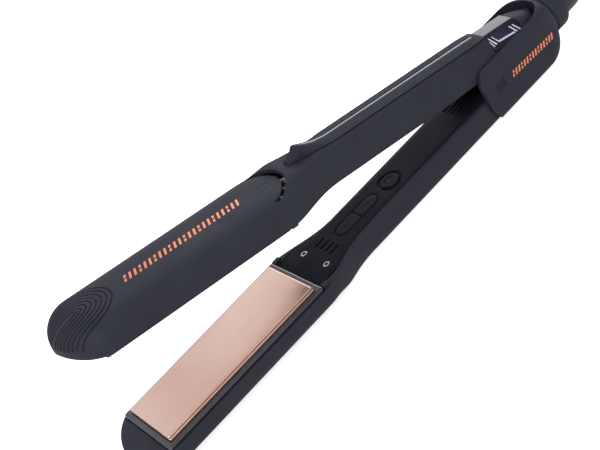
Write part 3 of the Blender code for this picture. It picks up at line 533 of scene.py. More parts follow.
class Section:
    """Cross-section of a casing at x."""

    def __init__(self, x, upper, wall=0.0, head=None):
        head = ease(x, STEP_ROOT, STEP_TIP) if head is None else head
        self.x = x
        self.half = waist_half_width(x)
        self.rim = RIM_HEIGHT
        self.crown = HANDLE_CROWN + (HEAD_CROWN - HANDLE_CROWN) * head
        self.flat = HANDLE_FLAT + (HEAD_FLAT - HANDLE_FLAT) * head
        self.power = CASING_POWER
        if x < NOSE_START:
            sine = min((NOSE_START - x) / NOSE_LENGTH, 1.0)
            swing = math.sqrt(1.0 - sine * sine)
            self.half *= swing ** NOSE_WIDTH_POWER
            self.rim += NOSE_RIM_RISE * sine * sine
            self.crown = self.rim + (self.crown - self.rim) * swing ** NOSE_HEIGHT_POWER
        if upper and x > ROOT_START:
            self.half += (ROOT_HALF_WIDTH - HANDLE_HALF_WIDTH) * ease(x, ROOT_START, -20.0)
            self.power += (TAIL_POWER - CASING_POWER) * ease(x, -30.0, LENS_TIP)
            self.crown -= ease(x, -8.0, LENS_ROOT)
        self.half -= wall
        if upper and x > LENS_ROOT:
            reach = TAIL_CENTRE + ROOT_HALF_WIDTH - LENS_ROOT
            self.crown -= TAIL_DROP * (x - LENS_ROOT) / reach
            if x > TAIL_CENTRE:
                radius = ROOT_HALF_WIDTH - wall
                self.half = math.sqrt(max(radius ** 2 - (x - TAIL_CENTRE) ** 2, 0.01))
        self.crown -= wall
        self.flat = min(self.flat - wall, self.crown)
        if wall:
            self.rim = DECK

    def roof(self, y):
        """Height of the outside at y: a superellipse arch that runs softly into the flat top."""
        rise = max(1.0 - abs(y / self.half) ** self.power, 0.0) ** (1 / self.power)
        height = self.rim + (self.crown - self.rim) * rise
        soft = min(0.6, 0.15 * (self.crown - self.rim))
        return 0.5 * (height + self.flat - math.hypot(height - self.flat, soft))

    def widths(self, side_steps=SIDE_STEPS, top_steps=TOP_STEPS):
        corner = math.acos(SHOULDER ** (self.power / 2))
        side = [self.half * math.cos(turn) ** (2 / self.power) for turn in span(0.0, corner, side_steps)]
        top = [self.half * SHOULDER * (1 - 2 * i / top_steps) for i in range(top_steps + 1)]
        return side + top + [-y for y in reversed(side)]


def cover_height(x, y):
    """Height of the head cover, which keeps its level up to its round end under the vent."""
    if x > STEP_TIP and math.hypot(x - COVER_X, y) < COVER_RADIUS + 0.2:
        return Section(x, True, head=1.0).roof(y)
    return None


def outer_loop(section, upper):
    points = []
    for y in section.widths():
        height = cover_height(section.x, y) if upper else None
        points.append((section.x, y, section.roof(y) if height is None else height))
    inset = min(RIM_INSET, 0.3 * section.half)
    for share, drop in ((0.2, 0.38), (1.0, RIM_DROP)):
        points.append((section.x, -section.half + share * inset, section.rim - drop))
    for share, drop in ((1.0, RIM_DROP), (0.2, 0.38)):
        points.append((section.x, section.half - share * inset, section.rim - drop))
    return points


def groove_cutters(roof):
    """Nested U grooves at the tip: half ellipses whose legs run down over the nose."""
    tools = []
    for k in range(GROOVES):
        length = GROOVE_LENGTH - GROOVE_LENGTH_STEP * k
        half = GROOVE_HALF_WIDTH - GROOVE_WIDTH_STEP * k
        bend = [(GROOVE_CENTRE + length * math.cos(a), half * math.sin(a))
                for a in (math.radians(-90 + 5 * i) for i in range(37))]
        legs = [GROOVE_CENTRE - 0.4 * (i + 1) for i in range(24)]
        path = [(x, -half) for x in reversed(legs)] + bend + [(x, half) for x in legs]
        points = []
        for x, y in path:
            section = Section(x, True)
            if abs(y) < section.half * 0.985:
                height = roof(x, y)
                if height > GROOVE_FOOT:
                    points.append((x, y, height + GROOVE_RADIUS - GROOVE_DEPTH))
        tools.append(tube("groove_cut", points, GROOVE_RADIUS, 10))
    return tools


def panel_half_outline(inset, notch=0.0):
    """Half outline of the inner panel. The notch draws it in beside the heating head."""
    points = [(x, PANEL_HALF_WIDTH - inset) for x in (PANEL_ROOT, -60.0, -100.0)]
    for x in span(-112.0, -139.0, 18):
        points.append((x, min(waist_half_width(x) - WALL - GAP, PANEL_WIDEST) - inset))
    points.append((-139.0, waist_half_width(-139.0) - WALL - GAP - inset - 0.5 * notch))
    points += [(-144.5, PANEL_WIDEST - inset - notch), (-150.6, 18.6 - inset - notch)]
    points.append((PANEL_END + inset, 17.0 - inset))
    return points


def closed(half):
    return half + [(x, -y) for x, y in reversed(half)]


def nose_stations(last_angle, steps):
    angles = [last_angle * (1 - i / steps) for i in range(steps)]
    return [NOSE_START - NOSE_LENGTH * math.sin(math.radians(angle)) for angle in angles]


def casing_stations(upper):
    xs = nose_stations(88.5, 60) + spans((NOSE_START, -236.0, 52), (-236.0, -176.0, 10))
    if not upper:
        return xs + spans((-176.0, -112.0, 34), (-112.0, HUB_LEFT, 12)) + [HUB_LEFT, ARM_FULL_END]
    xs += spans((-176.0, -134.0, 76), (-134.0, -112.0, 14), (-112.0, -48.0, 8))
    xs += span(-48.0, TAIL_CENTRE, 34)
    return xs + [TAIL_CENTRE + ROOT_HALF_WIDTH * math.sin(math.radians(a)) for a in range(0, 87, 4)]


def fixed_section(x, wall, half, crown, flat, rim):
    """Section of the spigot or its throat, whose size doesn't follow the casing."""
    section = Section(x, False, wall)
    section.half, section.crown, section.flat, section.rim = half, crown, flat, rim
    return section


def casing_cavity(upper):
    xs = nose_stations(74.0, 8)
    xs += spans((NOSE_START, -160.0, 4), (-160.0, -112.0, 16), (-112.0, -30.0, 4))
    if upper:
        xs += span(-30.0, TAIL_CENTRE, 8) + [TAIL_CENTRE + x for x in (0.0, 4.0, 7.0, 9.0, 10.2)]
    hollow = [Section(x, upper, WALL) for x in xs]
    if not upper:
        hollow += [fixed_section(x, WALL, 10.5, 18.9, 18.0, DECK) for x in (HUB_LEFT - 3.0, -5.0)]
    return skin("cavity", [[(s.x, y, s.roof(y)) for y in s.widths(8, 16)] for s in hollow])


def casing_cutters(side, low, high):
    """Cutters for the inside, the inner panel, the bezel and the upper arm's openings."""
    upper = side == "upper"
    opening = closed([(PANEL_ROOT + 60.0, PANEL_HALF_WIDTH + GAP)] + panel_half_outline(-GAP)[1:])
    bezel_high = (high.x + GAP, high.y + GAP, high.z + GAP)
    tools = [casing_cavity(upper), prism("panel_cut", opening, 0.0, DECK + GAP),
             block("bezel_cut", (low.x - GAP, low.y - GAP, 0.0), bezel_high)]
    for sign in (-1, 1):
        inner, outer = sorted((sign * (high.y - 0.5), sign * (high.y + 0.95)))
        tools.append(block("shadow_gap", (low.x + 3.0, inner, 0.0), (high.x + 0.2, outer, DECK)))
    if upper:
        crescent = arc((SLOT_X, 0.0), SLOT_RADIUS, -76, 76, 61)
        crescent += arc((COVER_X, 0.0), COVER_RADIUS, 80, -80, 61)
        tools.append(prism("vent_cut", crescent, 13.0, 30.0))
        tools.append(block("lens_cut", (LENS_TIP - GAP, -20.0, LENS_SIDE - GAP),
                           (LENS_ROOT + GAP, 20.0, 30.0)))
        tools.append(block("root_cut", (PANEL_ROOT, -10.6, 0.0), (30.0, 10.6, DECK + GAP)))
        for xs, radius, floor, steps in ((DOT_XS, 0.7, 15.0, 20), (PIN_XS, 0.5, 19.0, 16)):
            for x in xs:
                tools.append(revolve("pin_cut", [(radius, floor), (radius, 30.0)], (x, 0.0), steps=steps))
    return tools


def casing(side):
    upper = side == "upper"
    loops = [outer_loop(Section(x, upper), upper) for x in casing_stations(upper)]
    shell = skin(side + "_casing", loops)
    combine(shell, groove_cutters(lambda x, y: Section(x, upper).roof(y)))
    if not upper:
        outline = [(x, -z) for x, z in hub_side_outline(GAP)]
        combine(shell, [side_prism("hub_clearance", outline, 20.0)])
        spigot = [outer_loop(fixed_section(x, 0.0, 12.5, 20.9, 20.0, 4.5), False)
                  for x in (HUB_LEFT - 4.0, -8.0)]
        combine(shell, [skin("spigot", spigot)], "UNION")
    low, high = local_box(side + "_bezel", side)
    combine(shell, casing_cutters(side, low, high))
    for sign in (-1, 1):
        ear = [(-153.4, 19.5), (-150.4, 19.5), (-149.0, 20.4), (-149.6, high.y), (-153.4, high.y)]
        ear = [(x, sign * y) for x, y in ear]
        combine(shell, [prism("ear", ear, low.z + 0.1, 5.0)], "UNION")
    put(shell, side, "casing", [side + "_outer_shell"])


def inner_panel(side):
    loops = []
    for inset, height in ((0.45, INNER_FACE), (0.12, INNER_FACE + 0.1), (0.0, INNER_FACE + 0.4),
                          (0.0, PANEL_BACK)):
        loops.append([(x, y, height) for x, y in closed(panel_half_outline(inset - 0.15, 0.7))])
    panel = skin(side + "_panel", loops)
    slots = [(-135.2, -128.3, y) for y in (-6.3, -2.1, 2.1, 6.3)]
    slots += [(-32.0, -22.0, y) for y in (-7.5, -4.5, -1.5, 1.5, 4.5, 7.5)]
    tools = [prism("slot", pill(x0, x1, 0.65, y, 9), 3.0, 6.0) for x0, x1, y in slots]
    for mark in "ab":
        _, centre, _ = plan_circle(f"{side}_panel_screw_{mark}", side)
        recess = [(2.5, 3.0), (2.25, INNER_FACE + 0.2), (2.2, INNER_FACE + 0.9)]
        tools.append(revolve("recess", recess, centre))
        tools.append(revolve("hole", [(1.5, 3.0), (1.5, 6.0)], centre))
    if side == "lower":
        _, centre, radius = plan_circle("power_button", side)
        dish = [(9.2, 3.0), (7.7, INNER_FACE), (7.3, INNER_FACE + 0.25), (6.6, INNER_FACE + 0.75),
                (radius + GAP, INNER_FACE + 0.9), (radius + GAP, 8.0)]
        tools.append(revolve("dish", dish, (centre[0], 0.0), steps=72))
        tip, root = local_box("minus_key", side)[0].x, local_box("plus_key", side)[1].x
        for inset, floor in ((-0.9, INNER_FACE + 0.25), (-GAP, 8.0)):
            slot = pill(tip + inset, root - inset, KEY_SLOT_HALF_WIDTH - inset, 0.0, 33)
            tools.append(prism("key_slot", slot, 3.0, floor))
    combine(panel, tools)
    put(panel, side, "panel", [side + "_inner_panel"], sharp=25.0)


def panel_screws(side):
    for mark in "ab":
        node = f"{side}_panel_screw_{mark}"
        low, centre, radius = plan_circle(node, side)
        top = low.z
        profile = [(0.4, top + 0.1), (radius * 0.7, top + 0.04), (radius * 0.9, top),
                   (radius, top + 0.12), (radius, top + 0.5), (1.3, top + 0.55), (1.3, top + 6.0)]
        screw = revolve(node + "_head", profile, centre, steps=40)
        combine(screw, [prism("drive", arc(centre, 1.12, 0, 300, 6), top - 1.0, top + 1.5)])
        put(screw, side, "steel", [node], sharp=25.0)
        # Dark steel disc set in the drive recess: painted shade that darkens the screw's centre.
        floor = [(0.3, top + 1.0), (0.8, top + 0.9), (1.0, top + 1.0), (0.9, top + 1.6)]
        put(revolve(node + "_shade_disc", floor, centre, steps=24), side, "shade_dark_steel")


def rounded_rectangle(x0, x1, half_y, radius, z):
    points = []
    corners = ((x1 - radius, half_y - radius, 0), (x0 + radius, half_y - radius, 90),
               (x0 + radius, radius - half_y, 180), (x1 - radius, radius - half_y, 270))
    for x, y, start in corners:
        points += [(a, b, z) for a, b in arc((x, y), radius, start, start + 90, 9)]
    return points


def plate_outline(side):
    """Ends and half width of the plate's bare face, and the height of that face."""
    low, high = local_box(side + "_heating_plate", side)
    return low.x + PLATE_BORDER, high.x - PLATE_BORDER, high.y - PLATE_BORDER, low.z


def bezel(side):
    """Rounded lip around the heating plate."""
    low, high = local_box(side + "_bezel", side)
    tip, root, reach, _ = plate_outline(side)
    inner, face = (tip - GAP, root + GAP, reach + GAP), low.z
    profile = [(0.0, 9.0), (0.0, face + 0.9), (0.03, face + 0.5), (0.1, face + 0.2),
               (0.22, face + 0.04), (0.36, face), (0.7, face), (0.88, face + 0.06), (0.97, face + 0.25),
               (1.0, face + 0.5), (1.0, 9.0)]
    loops = []
    for share, z in profile:
        x0 = low.x + (inner[0] - low.x) * share
        x1 = high.x + (inner[1] - high.x) * share
        half_y = high.y + (inner[2] - high.y) * share
        loops.append(rounded_rectangle(x0, x1, half_y, 1.2 - 0.8 * share, z))
    lip = skin(side + "_bezel_lip", loops, around=True)
    put(lip, side, "bezel", [side + "_bezel"], sharp=60.0)


def heating_plate(side):
    """Plate with rounded edges, a groove all round under its bezel and pockets at its back."""
    x0, x1, half_y, face = plate_outline(side)
    profile = [(0.0, 0.0, 5.0), (0.0, 0.0, 1.25), (0.03, 0.1, 1.1), (0.06, 0.8, 0.85),
               (0.1, 0.95, 0.95), (0.12, 0.97, 1.6), (0.15, 1.2, 1.6), (0.17, 1.22, 0.6),
               (0.3, 1.35, 0.38), (0.5, 1.6, 0.26), (0.8, 1.9, face)]
    loops = [rounded_rectangle(x0 + i, x1 - i, half_y - j, 0.8, z) for i, j, z in profile]
    plate = skin(side + "_plate", loops)
    tip, root, reach, floor, roof = x0 + 1.8, x1 - 1.8, 18.0, 1.6, 9.0
    seat_tip, seat_root, seat_half_width = -244.0, -171.0, 9.6
    pockets = ((tip, seat_half_width, root, reach), (tip, -reach, root, -seat_half_width),
               (tip, -reach, seat_tip, reach), (seat_root, -reach, root, reach))
    combine(plate, [block("pocket", (a, b, floor), (c, d, roof)) for a, b, c, d in pockets])
    node, body = side + "_heating_plate", side + "_plate"
    put(plate, side, "rose_gold", [node], body, sharp=12.0)


# --- upper arm

def upper_top(x, y):
    """Height of the upper casing's outside at (x, y)."""
    height = cover_height(x, y)
    return Section(x, True).roof(y) if height is None else height


def vent_insert():
    """Crescent floor under the vent with short ribs across the opening."""
    floor, first_rib, rib_step = 14.4, -60, 22
    outline = arc((SLOT_X - 0.5, 0.0), SLOT_RADIUS - 0.2, -60, 60, 41)
    outline += arc((COVER_X - 1.0, 0.0), COVER_RADIUS - 2.4, 60, -60, 41)
    insert = prism("vent_insert", outline, floor, 15.2)
    for i in range(6):
        turn = math.radians(first_rib + rib_step * i)
        along = Vector((math.cos(turn), math.sin(turn), 0.0))
        across = Vector((-along.y, along.x, 0.0)) * 0.8
        loops = []
        for reach in (COVER_RADIUS - 1.5, COVER_RADIUS + 1.6):
            middle = Vector((COVER_X, 0.0, 0.0)) + along * reach
            inner = upper_top(COVER_X + 12.0 * along.x, middle.y)
            top = min(upper_top(middle.x, middle.y), inner) - 0.9
            corners = ((1.0, 14.8), (-1.0, 14.8), (-1.0, top - 0.3), (-0.6, top), (0.6, top),
                       (1.0, top - 0.3))
            loops.append([middle + across * side + Vector((0.0, 0.0, z)) for side, z in corners])
        combine(insert, [skin("rib", loops)], "UNION")
    put(insert, "upper", "vent", ["vent_grille"])


# (x, half width) and (x, height over GRIP_BASE) along the grip, and half widths of its strip
GRIP_WIDTHS = ((-133.0, 2.6), (-131.0, 3.2), (-128.0, 3.8), (-125.0, 4.4), (-119.0, 5.7),
               (-114.0, 6.8), (-108.0, 7.6), (-104.0, 7.7), (-9.0, 7.7), (-1.5, 6.6))
GRIP_HEIGHTS = ((-133.0, 0.3), (-132.4, 1.4), (-130.4, 1.9), (-129.6, 2.9), (-127.6, 3.5),
                (-126.6, 5.4), (-125.6, 5.9), (-124.4, 5.6), (-122.0, 4.6), (-119.0, 3.5),
                (-114.0, 2.0), (-108.0, 1.1), (-102.0, 0.9), (-50.0, 0.8), (-9.0, 0.8), (-1.5, 0.6))
STRIP_WIDTHS = ((-123.5, 0.5), (-119.0, 1.1), (-114.0, 1.7), (-108.0, 2.0), (-6.0, 2.0),
                (-4.5, 1.2))


def between(points, x):
    """Straight-line value at x from (x, value) pairs in rising x."""
    for (x0, v0), (x1, v1) in zip(points, points[1:]):
        if x <= x1:
            return v0 + (v1 - v0) * min(max((x - x0) / (x1 - x0), 0.0), 1.0)
    return points[-1][1]


def grip():
    """Ribbed grip that rises to a lip at its tip, with a glossy strip let into its crown."""
    pitch, per_rib, across, rib_depth, foot = 1.4, 6, 40, 0.22, GRIP_BASE - 0.15
    xs = span(-133.0, -125.0, 40) + span(-125.0, -3.0, int(122 / pitch * per_rib))
    loops = []
    for x in xs + [-3.0, -2.5, -2.0, -1.5]:
        half, rise = between(GRIP_WIDTHS, x), between(GRIP_HEIGHTS, x)
        lip = min(0.2, 0.5 * rise)
        power = 2.2 + 2.4 * ease(-x, 112.0, 125.0)
        loop = [(x, half, foot)]
        for i in range(across + 1):
            y = half * math.cos(math.pi * i / across)
            crown = 1.0 - abs(y / half) ** power
            ribbed = ease(abs(y), 2.3, 2.8) * ease(half - abs(y), 0.3, 0.8)
            ribbed *= ease(x, -126.0, -124.0) * ease(-x, 4.0, 6.0)
            wave = 0.5 - 0.5 * math.cos(2 * math.pi * x / pitch)
            loop.append((x, y, GRIP_BASE + lip + (rise - lip) * crown - rib_depth * ribbed * wave))
        loops.append(loop + [(x, -half, foot)])
    body = skin("grip", loops)
    groove = []
    stations = span(-123.5, -108.0, 16) + span(-108.0, -6.0, 16) + [-6.0, -5.4, -4.9, -4.5]
    for x in [-123.8] + stations + [-4.2]:
        half, crown = between(STRIP_WIDTHS, x) + 0.2, GRIP_BASE + between(GRIP_HEIGHTS, x)
        high, low = crown + 4.0, crown - 0.5
        groove.append([(x, half, high), (x, -half, high), (x, -half, low), (x, half, low)])
    combine(body, [skin("groove", groove)])
    put(body, "upper", "grip", ["grip_insert"], sharp=28.0)

    loops = []
    for x in stations:
        half, crown = between(STRIP_WIDTHS, x), GRIP_BASE + between(GRIP_HEIGHTS, x)
        loop = [(x, half, crown - 0.45)]
        for i in range(15):
            y = half * math.cos(math.pi * i / 14)
            loop.append((x, y, crown + 0.2 - 0.5 * min(half / 2.0, 1.0) * abs(y / half) ** 2))
        loops.append(loop + [(x, -half, crown - 0.45)])
    put(skin("gloss_strip", loops), "upper", "strip", ["grip_strip"], sharp=40.0)


RIDGE_Y, RIDGE_Z, FOOT_Y, FOOT_Z = 5.1, 21.3, 12.7, 14.7
SLOPE = Vector((FOOT_Y - RIDGE_Y, RIDGE_Z - FOOT_Z)).normalized()


def facet(x, down, lift):
    """Point on the display's near facet: x along the arm, down from the ridge, lift off it."""
    y = -RIDGE_Y - down * SLOPE.x - lift * SLOPE.y
    return (x, y, RIDGE_Z - down * SLOPE.y + lift * SLOPE.x)


def facet_plate(name, corners, lift, material):
    """Thin plate with a chamfered edge on the near facet, from (x, down) corners."""
    middle = sum((Vector(corner) for corner in corners), Vector((0.0, 0.0))) / len(corners)
    loops = []
    for shrink, height in ((0.0, -0.3), (0.0, lift - 0.06), (0.08, lift)):
        loop = []
        for corner in corners:
            inward = (middle - Vector(corner)).normalized() * shrink
            loop.append(facet(corner[0] + inward.x, corner[1] + inward.y, height))
        loops.append(loop)
    put(skin(name, loops), "upper", material)


def display():
    run, climb = FOOT_Y - RIDGE_Y, RIDGE_Z - FOOT_Z
    half = [(FOOT_Y, LENS_SIDE), (FOOT_Y, FOOT_Z - 0.2), (FOOT_Y - 0.15, FOOT_Z + 0.15)]
    half += [(FOOT_Y - run * t, FOOT_Z + climb * t) for t in (0.25, 0.5, 0.75, 0.95)]
    half += [(RIDGE_Y, RIDGE_Z - 0.14), (RIDGE_Y - 0.4, RIDGE_Z - 0.03), (RIDGE_Y - 1.2, RIDGE_Z)]
    half.append((1.6, RIDGE_Z))
    loops = []
    edge = ((0.0, 0.3), (0.1, 0.1), (0.3, 0.0))
    stations = [(LENS_TIP + step, inset) for step, inset in edge]
    for x, inset in stations + [(LENS_ROOT - step, inset) for step, inset in reversed(edge)]:
        right = [(x, y - inset, z - inset) for y, z in half]
        loops.append(right + [(x, -y, z) for _, y, z in reversed(right)])
    put(skin("lens", loops), "upper", "lens", ["display_lens"], sharp=25.0)
    glass = [(3.2, 0.9), (14.9, 0.9), (15.6, 6.8), (4.6, 6.1)]
    facet_plate("screen", glass, 0.05, "screen")
    trims = {
        "screen_sill": [(4.2, 6.3), (15.5, 6.95), (15.7, 8.0), (4.3, 7.4)],
        "screen_jamb_a": [(-0.7, 4.1), (-0.3, 4.0), (0.3, 8.1), (-0.4, 8.3)],
        "screen_jamb_b": [(0.1, 2.4), (0.6, 2.3), (2.5, 7.5), (1.4, 7.7)],
        "screen_jamb_c": [(2.3, 2.5), (2.8, 2.4), (4.5, 7.1), (3.9, 7.3)],
        "screen_jamb_d": [(14.8, 3.0), (15.6, 2.9), (17.4, 7.8), (16.5, 8.0)],
        "screen_jamb_e": [(17.2, 3.1), (17.9, 3.0), (19.8, 7.8), (19.0, 8.0)],
    }
    for name, corners in trims.items():
        facet_plate(name, corners, 0.1, "bright")


def light_dots():
    low, high = local_box("light_guide", "upper")
    guide = block("dot_guide", (low.x, low.y, low.z), (high.x, high.y, low.z + 1.4))
    for x in DOT_XS:
        top = upper_top(x, 0.0) - 0.25
        profile = [(0.55, low.z + 1.0), (0.55, top - 0.1), (0.4, top)]
        combine(guide, [revolve("pin", profile, (x, 0.0), steps=20)], "UNION")
    put(guide, "upper", "guide", ["light_guide"])


def decal(name, quads, surface, side):
    """Printed marks: thin patches that follow a surface. Each quad is four (u, v) corners."""
    bm = bmesh.new()
    steps, thickness = 4, 0.1
    for corners in quads:
        a, b, c, d = [Vector(corner) for corner in corners]
        layers = []
        for lift in (-thickness / 2, thickness / 2):
            rows = []
            for i in range(steps + 1):
                s = i / steps
                flats = [(a * (1 - s) + b * s) * (1 - t) + (d * (1 - s) + c * s) * t
                         for t in (j / steps for j in range(steps + 1))]
                rows.append([bm.verts.new(surface(flat.x, flat.y, lift)) for flat in flats])
            layers.append(rows)
        for rows in layers:
            for i in range(steps):
                for j in range(steps):
                    bm.faces.new((rows[i][j], rows[i + 1][j], rows[i + 1][j + 1], rows[i][j + 1]))
        rim = [(i, 0) for i in range(steps)] + [(steps, j) for j in range(steps)]
        rim += [(steps - i, steps) for i in range(steps)] + [(0, steps - j) for j in range(steps)]
        for (i, j), (k, m) in zip(rim, rim[1:] + rim[:1]):
            bm.faces.new((layers[0][i][j], layers[0][k][m], layers[1][k][m], layers[1][i][j]))
    put(new_object(name, bm), side, "print")


def slanted_bars(start, end, count, half_height, thickness, slant, centre):
    """Row of slanted bars along u, with every third bar split in two: a plain pattern."""
    quads = []
    for i in range(count):
        u = start + (end - start) * (i + 0.5) / count
        middle = centre(u)
        pieces = ((-1.0, 1.0),) if i % 3 else ((-1.0, -0.2), (0.2, 1.0))
        for low, high in pieces:
            v0, v1 = low * half_height, high * half_height
            corners = ((v0, -thickness), (v0, thickness), (v1, thickness), (v1, -thickness))
            quads.append([(u + slant * v + shift, middle + v) for v, shift in corners])
    return quads


def arm_print():
    bars = slanted_bars(-232.6, -163.4, 24, 2.9, 0.62, 0.4, lambda u: 0.0)
    decal("arm_print", bars, lambda x, y, lift: (x, y, upper_top(x, y) + lift), "upper")


# --- lower arm

def key_loop(x0, x1, half, z, round_at_root):
    """Outline of a key: round at one end, square at the end beside the other key."""
    if round_at_root:
        outline = arc((x1 - half, 0.0), half, -90, 90, 17) + [(x0, half), (x0, -half)]
    else:
        outline = arc((x0 + half, 0.0), half, 90, 270, 17) + [(x1, -half), (x1, half)]
    return [(x, y, z) for x, y in outline]


def controls():
    for node, root in (("plus_key", True), ("minus_key", False)):
        low, high = local_box(node, "lower")
        rim = ((0.0, high.z), (0.0, low.z + 0.75), (0.07, low.z + 0.4), (0.3, low.z + 0.13),
               (0.75, low.z + 0.02), (1.3, low.z))
        key = skin(node + "_cap", [key_loop(low.x + inset, high.x - inset, high.y - inset, z, root)
                                   for inset, z in rim])
        x = (low.x + high.x) / 2 + (0.8 if root else -0.8)
        reach, stroke, bottom, top = 1.5, 0.28, low.z - 1.0, low.z + 0.22
        bars = ((reach, stroke), (stroke, reach)) if root else ((reach, stroke),)
        combine(key, [block("bar", (x - a, -b, bottom), (x + a, b, top)) for a, b in bars])
        put(key, "lower", "key", [node], node, sharp=28.0)

    low, high = local_box("power_button", "lower")
    centre, radius = ((low.x + high.x) / 2, 0.0), (high.x - low.x) / 2
    lamp = [(0.2, low.z + 0.2), (0.46, low.z + 0.26), (0.5, low.z + 0.6)]
    profile = [(0.55, low.z + 0.38), (0.75, low.z + 0.2), (2.6, low.z + 0.16), (2.75, low.z + 0.3),
               (3.15, low.z + 0.3), (3.3, low.z + 0.12), (4.3, low.z),
               (radius - 0.35, low.z + 0.05), (radius - 0.08, low.z + 0.25), (radius, low.z + 0.6),
               (radius, high.z), (1.0, high.z)]
    button = revolve("power_cap", profile, centre, steps=72)
    put(button, "lower", "key", ["power_button"], "power_button", sharp=40.0)
    lamp = revolve("power_lamp", lamp, centre, steps=24)
    put(lamp, "lower", "guide", body="power_button")


# --- hinge housing and cord

def housing_loop(x, half, depth, flat, top, power, top_power):
    """Section of the hinge housing: superellipse quarters, cut off softly at the rest face."""
    loop = []
    for i in range(HOUSING_STEPS):
        angle = 2 * math.pi * i / HOUSING_STEPS
        upper = math.sin(angle) > 0
        exponent = 2 / (top_power if upper else power)
        side = math.copysign(abs(math.cos(angle)) ** exponent, math.cos(angle))
        rise = abs(math.sin(angle)) ** exponent
        if upper:
            height = top * rise
        else:
            deep, soft = depth * rise, min(0.5, 0.04 * depth)
            height = -0.5 * (deep + flat - math.hypot(deep - flat, soft))
            height = min(height, 0.0)
        loop.append((x, half * side, height))
    return loop


def hub_shell():
    loops = []
    sizes, powers = (HUB_HALF_WIDTH, HUB_DEPTH, HUB_FLAT, HUB_TOP), (HUB_POWER, HUB_TOP_POWER)
    for x in span(HUB_LEFT, HUB_ROUND_START, 10):
        loops.append(housing_loop(x, *sizes, *powers))
    for i in range(25):
        turn = math.radians(90 * i / 24)
        swing = math.cos(turn)
        x = HUB_ROUND_START + (HUB_NECK_START - HUB_ROUND_START) * math.sin(turn)
        shape = [NECK_RADIUS + (size - NECK_RADIUS) * swing for size in sizes]
        loops.append(housing_loop(x, *shape, *[2 + (power - 2) * swing for power in powers]))
    for back, inset in ((0.3, 0.0), (0.1, 0.1), (0.0, 0.3)):
        loops.append(housing_loop(HUB_END - back, *[NECK_RADIUS - inset] * 4, 2, 2))
    hub = skin("hub_shell", loops)

    combine(hub, [side_prism("keep", hub_side_outline(0.0), 30.0)], "INTERSECT")

    recess, flat, above, square = [], 20.7, 40.0, 40
    for x in (HUB_LEFT - 5.0, RECESS_STRAIGHT_END):
        recess.append(housing_loop(x, HUB_INNER_HALF_WIDTH, 21.0, flat, above, HUB_POWER, square))
    for angle in (15, 30, 45, 57, 67, 75, 80):
        turn = math.radians(angle)
        recess.append(housing_loop(RECESS_STRAIGHT_END + RECESS_ROUND_LENGTH * math.sin(turn),
                                   HUB_INNER_HALF_WIDTH * math.cos(turn), 10 + 11 * math.cos(turn),
                                   flat, above, CASING_POWER, square))
    tools = [skin("recess", recess)]
    low, high = local_box("hinge_pin", "hub")
    radius = (high.z - low.z) / 2 + GAP
    ring = [(radius * math.cos(t), radius * math.sin(t)) for t in span(0.0, 2 * math.pi, 32)]
    tools.append(side_prism("pin_hole", ring, high.y + GAP))
    tools.append(revolve("swivel_hole", [(5.3, 30.0), (5.3, 60.0)], axis="X"))
    wave_x, wave_z, half_length, spacing, swell = -7.0, -1.4, 3.6, 2.0, 0.7
    for i in range(3):
        path = []
        for k in range(17):
            u = -1.0 + k / 8
            x = wave_x + half_length * u
            z = wave_z - spacing * (i - 1) + swell * math.sin(math.pi * u)
            path.append((x, -cheek(x, z), z))
        tools.append(tube("wave_mark", path, 0.55, 10))
    combine(hub, tools)
    put(hub, "hub", "casing", ["hinge_housing"], sharp=30.0)


def cheek(x, z):
    """Half width of the hinge housing at (x, z)."""
    sine = max(x - HUB_ROUND_START, 0.0) / (HUB_NECK_START - HUB_ROUND_START)
    swing = math.sqrt(max(1.0 - sine * sine, 0.0))
    width = NECK_RADIUS + (HUB_HALF_WIDTH - NECK_RADIUS) * swing
    power, reach = (HUB_TOP_POWER, HUB_TOP) if z > 0 else (HUB_POWER, HUB_DEPTH)
    power = 2 + (power - 2) * swing
    reach = NECK_RADIUS + (reach - NECK_RADIUS) * swing
    return width * max(1.0 - abs(z / reach) ** power, 0.0) ** (1 / power)


def hub_print():
    bars = slanted_bars(2.0, 36.0, 15, 1.75, 0.55, 0.35, lambda u: -1.6 - 0.04 * u)
    decal("hub_print", bars, lambda x, z, lift: (x, -cheek(x, z) - lift, z), "hub")


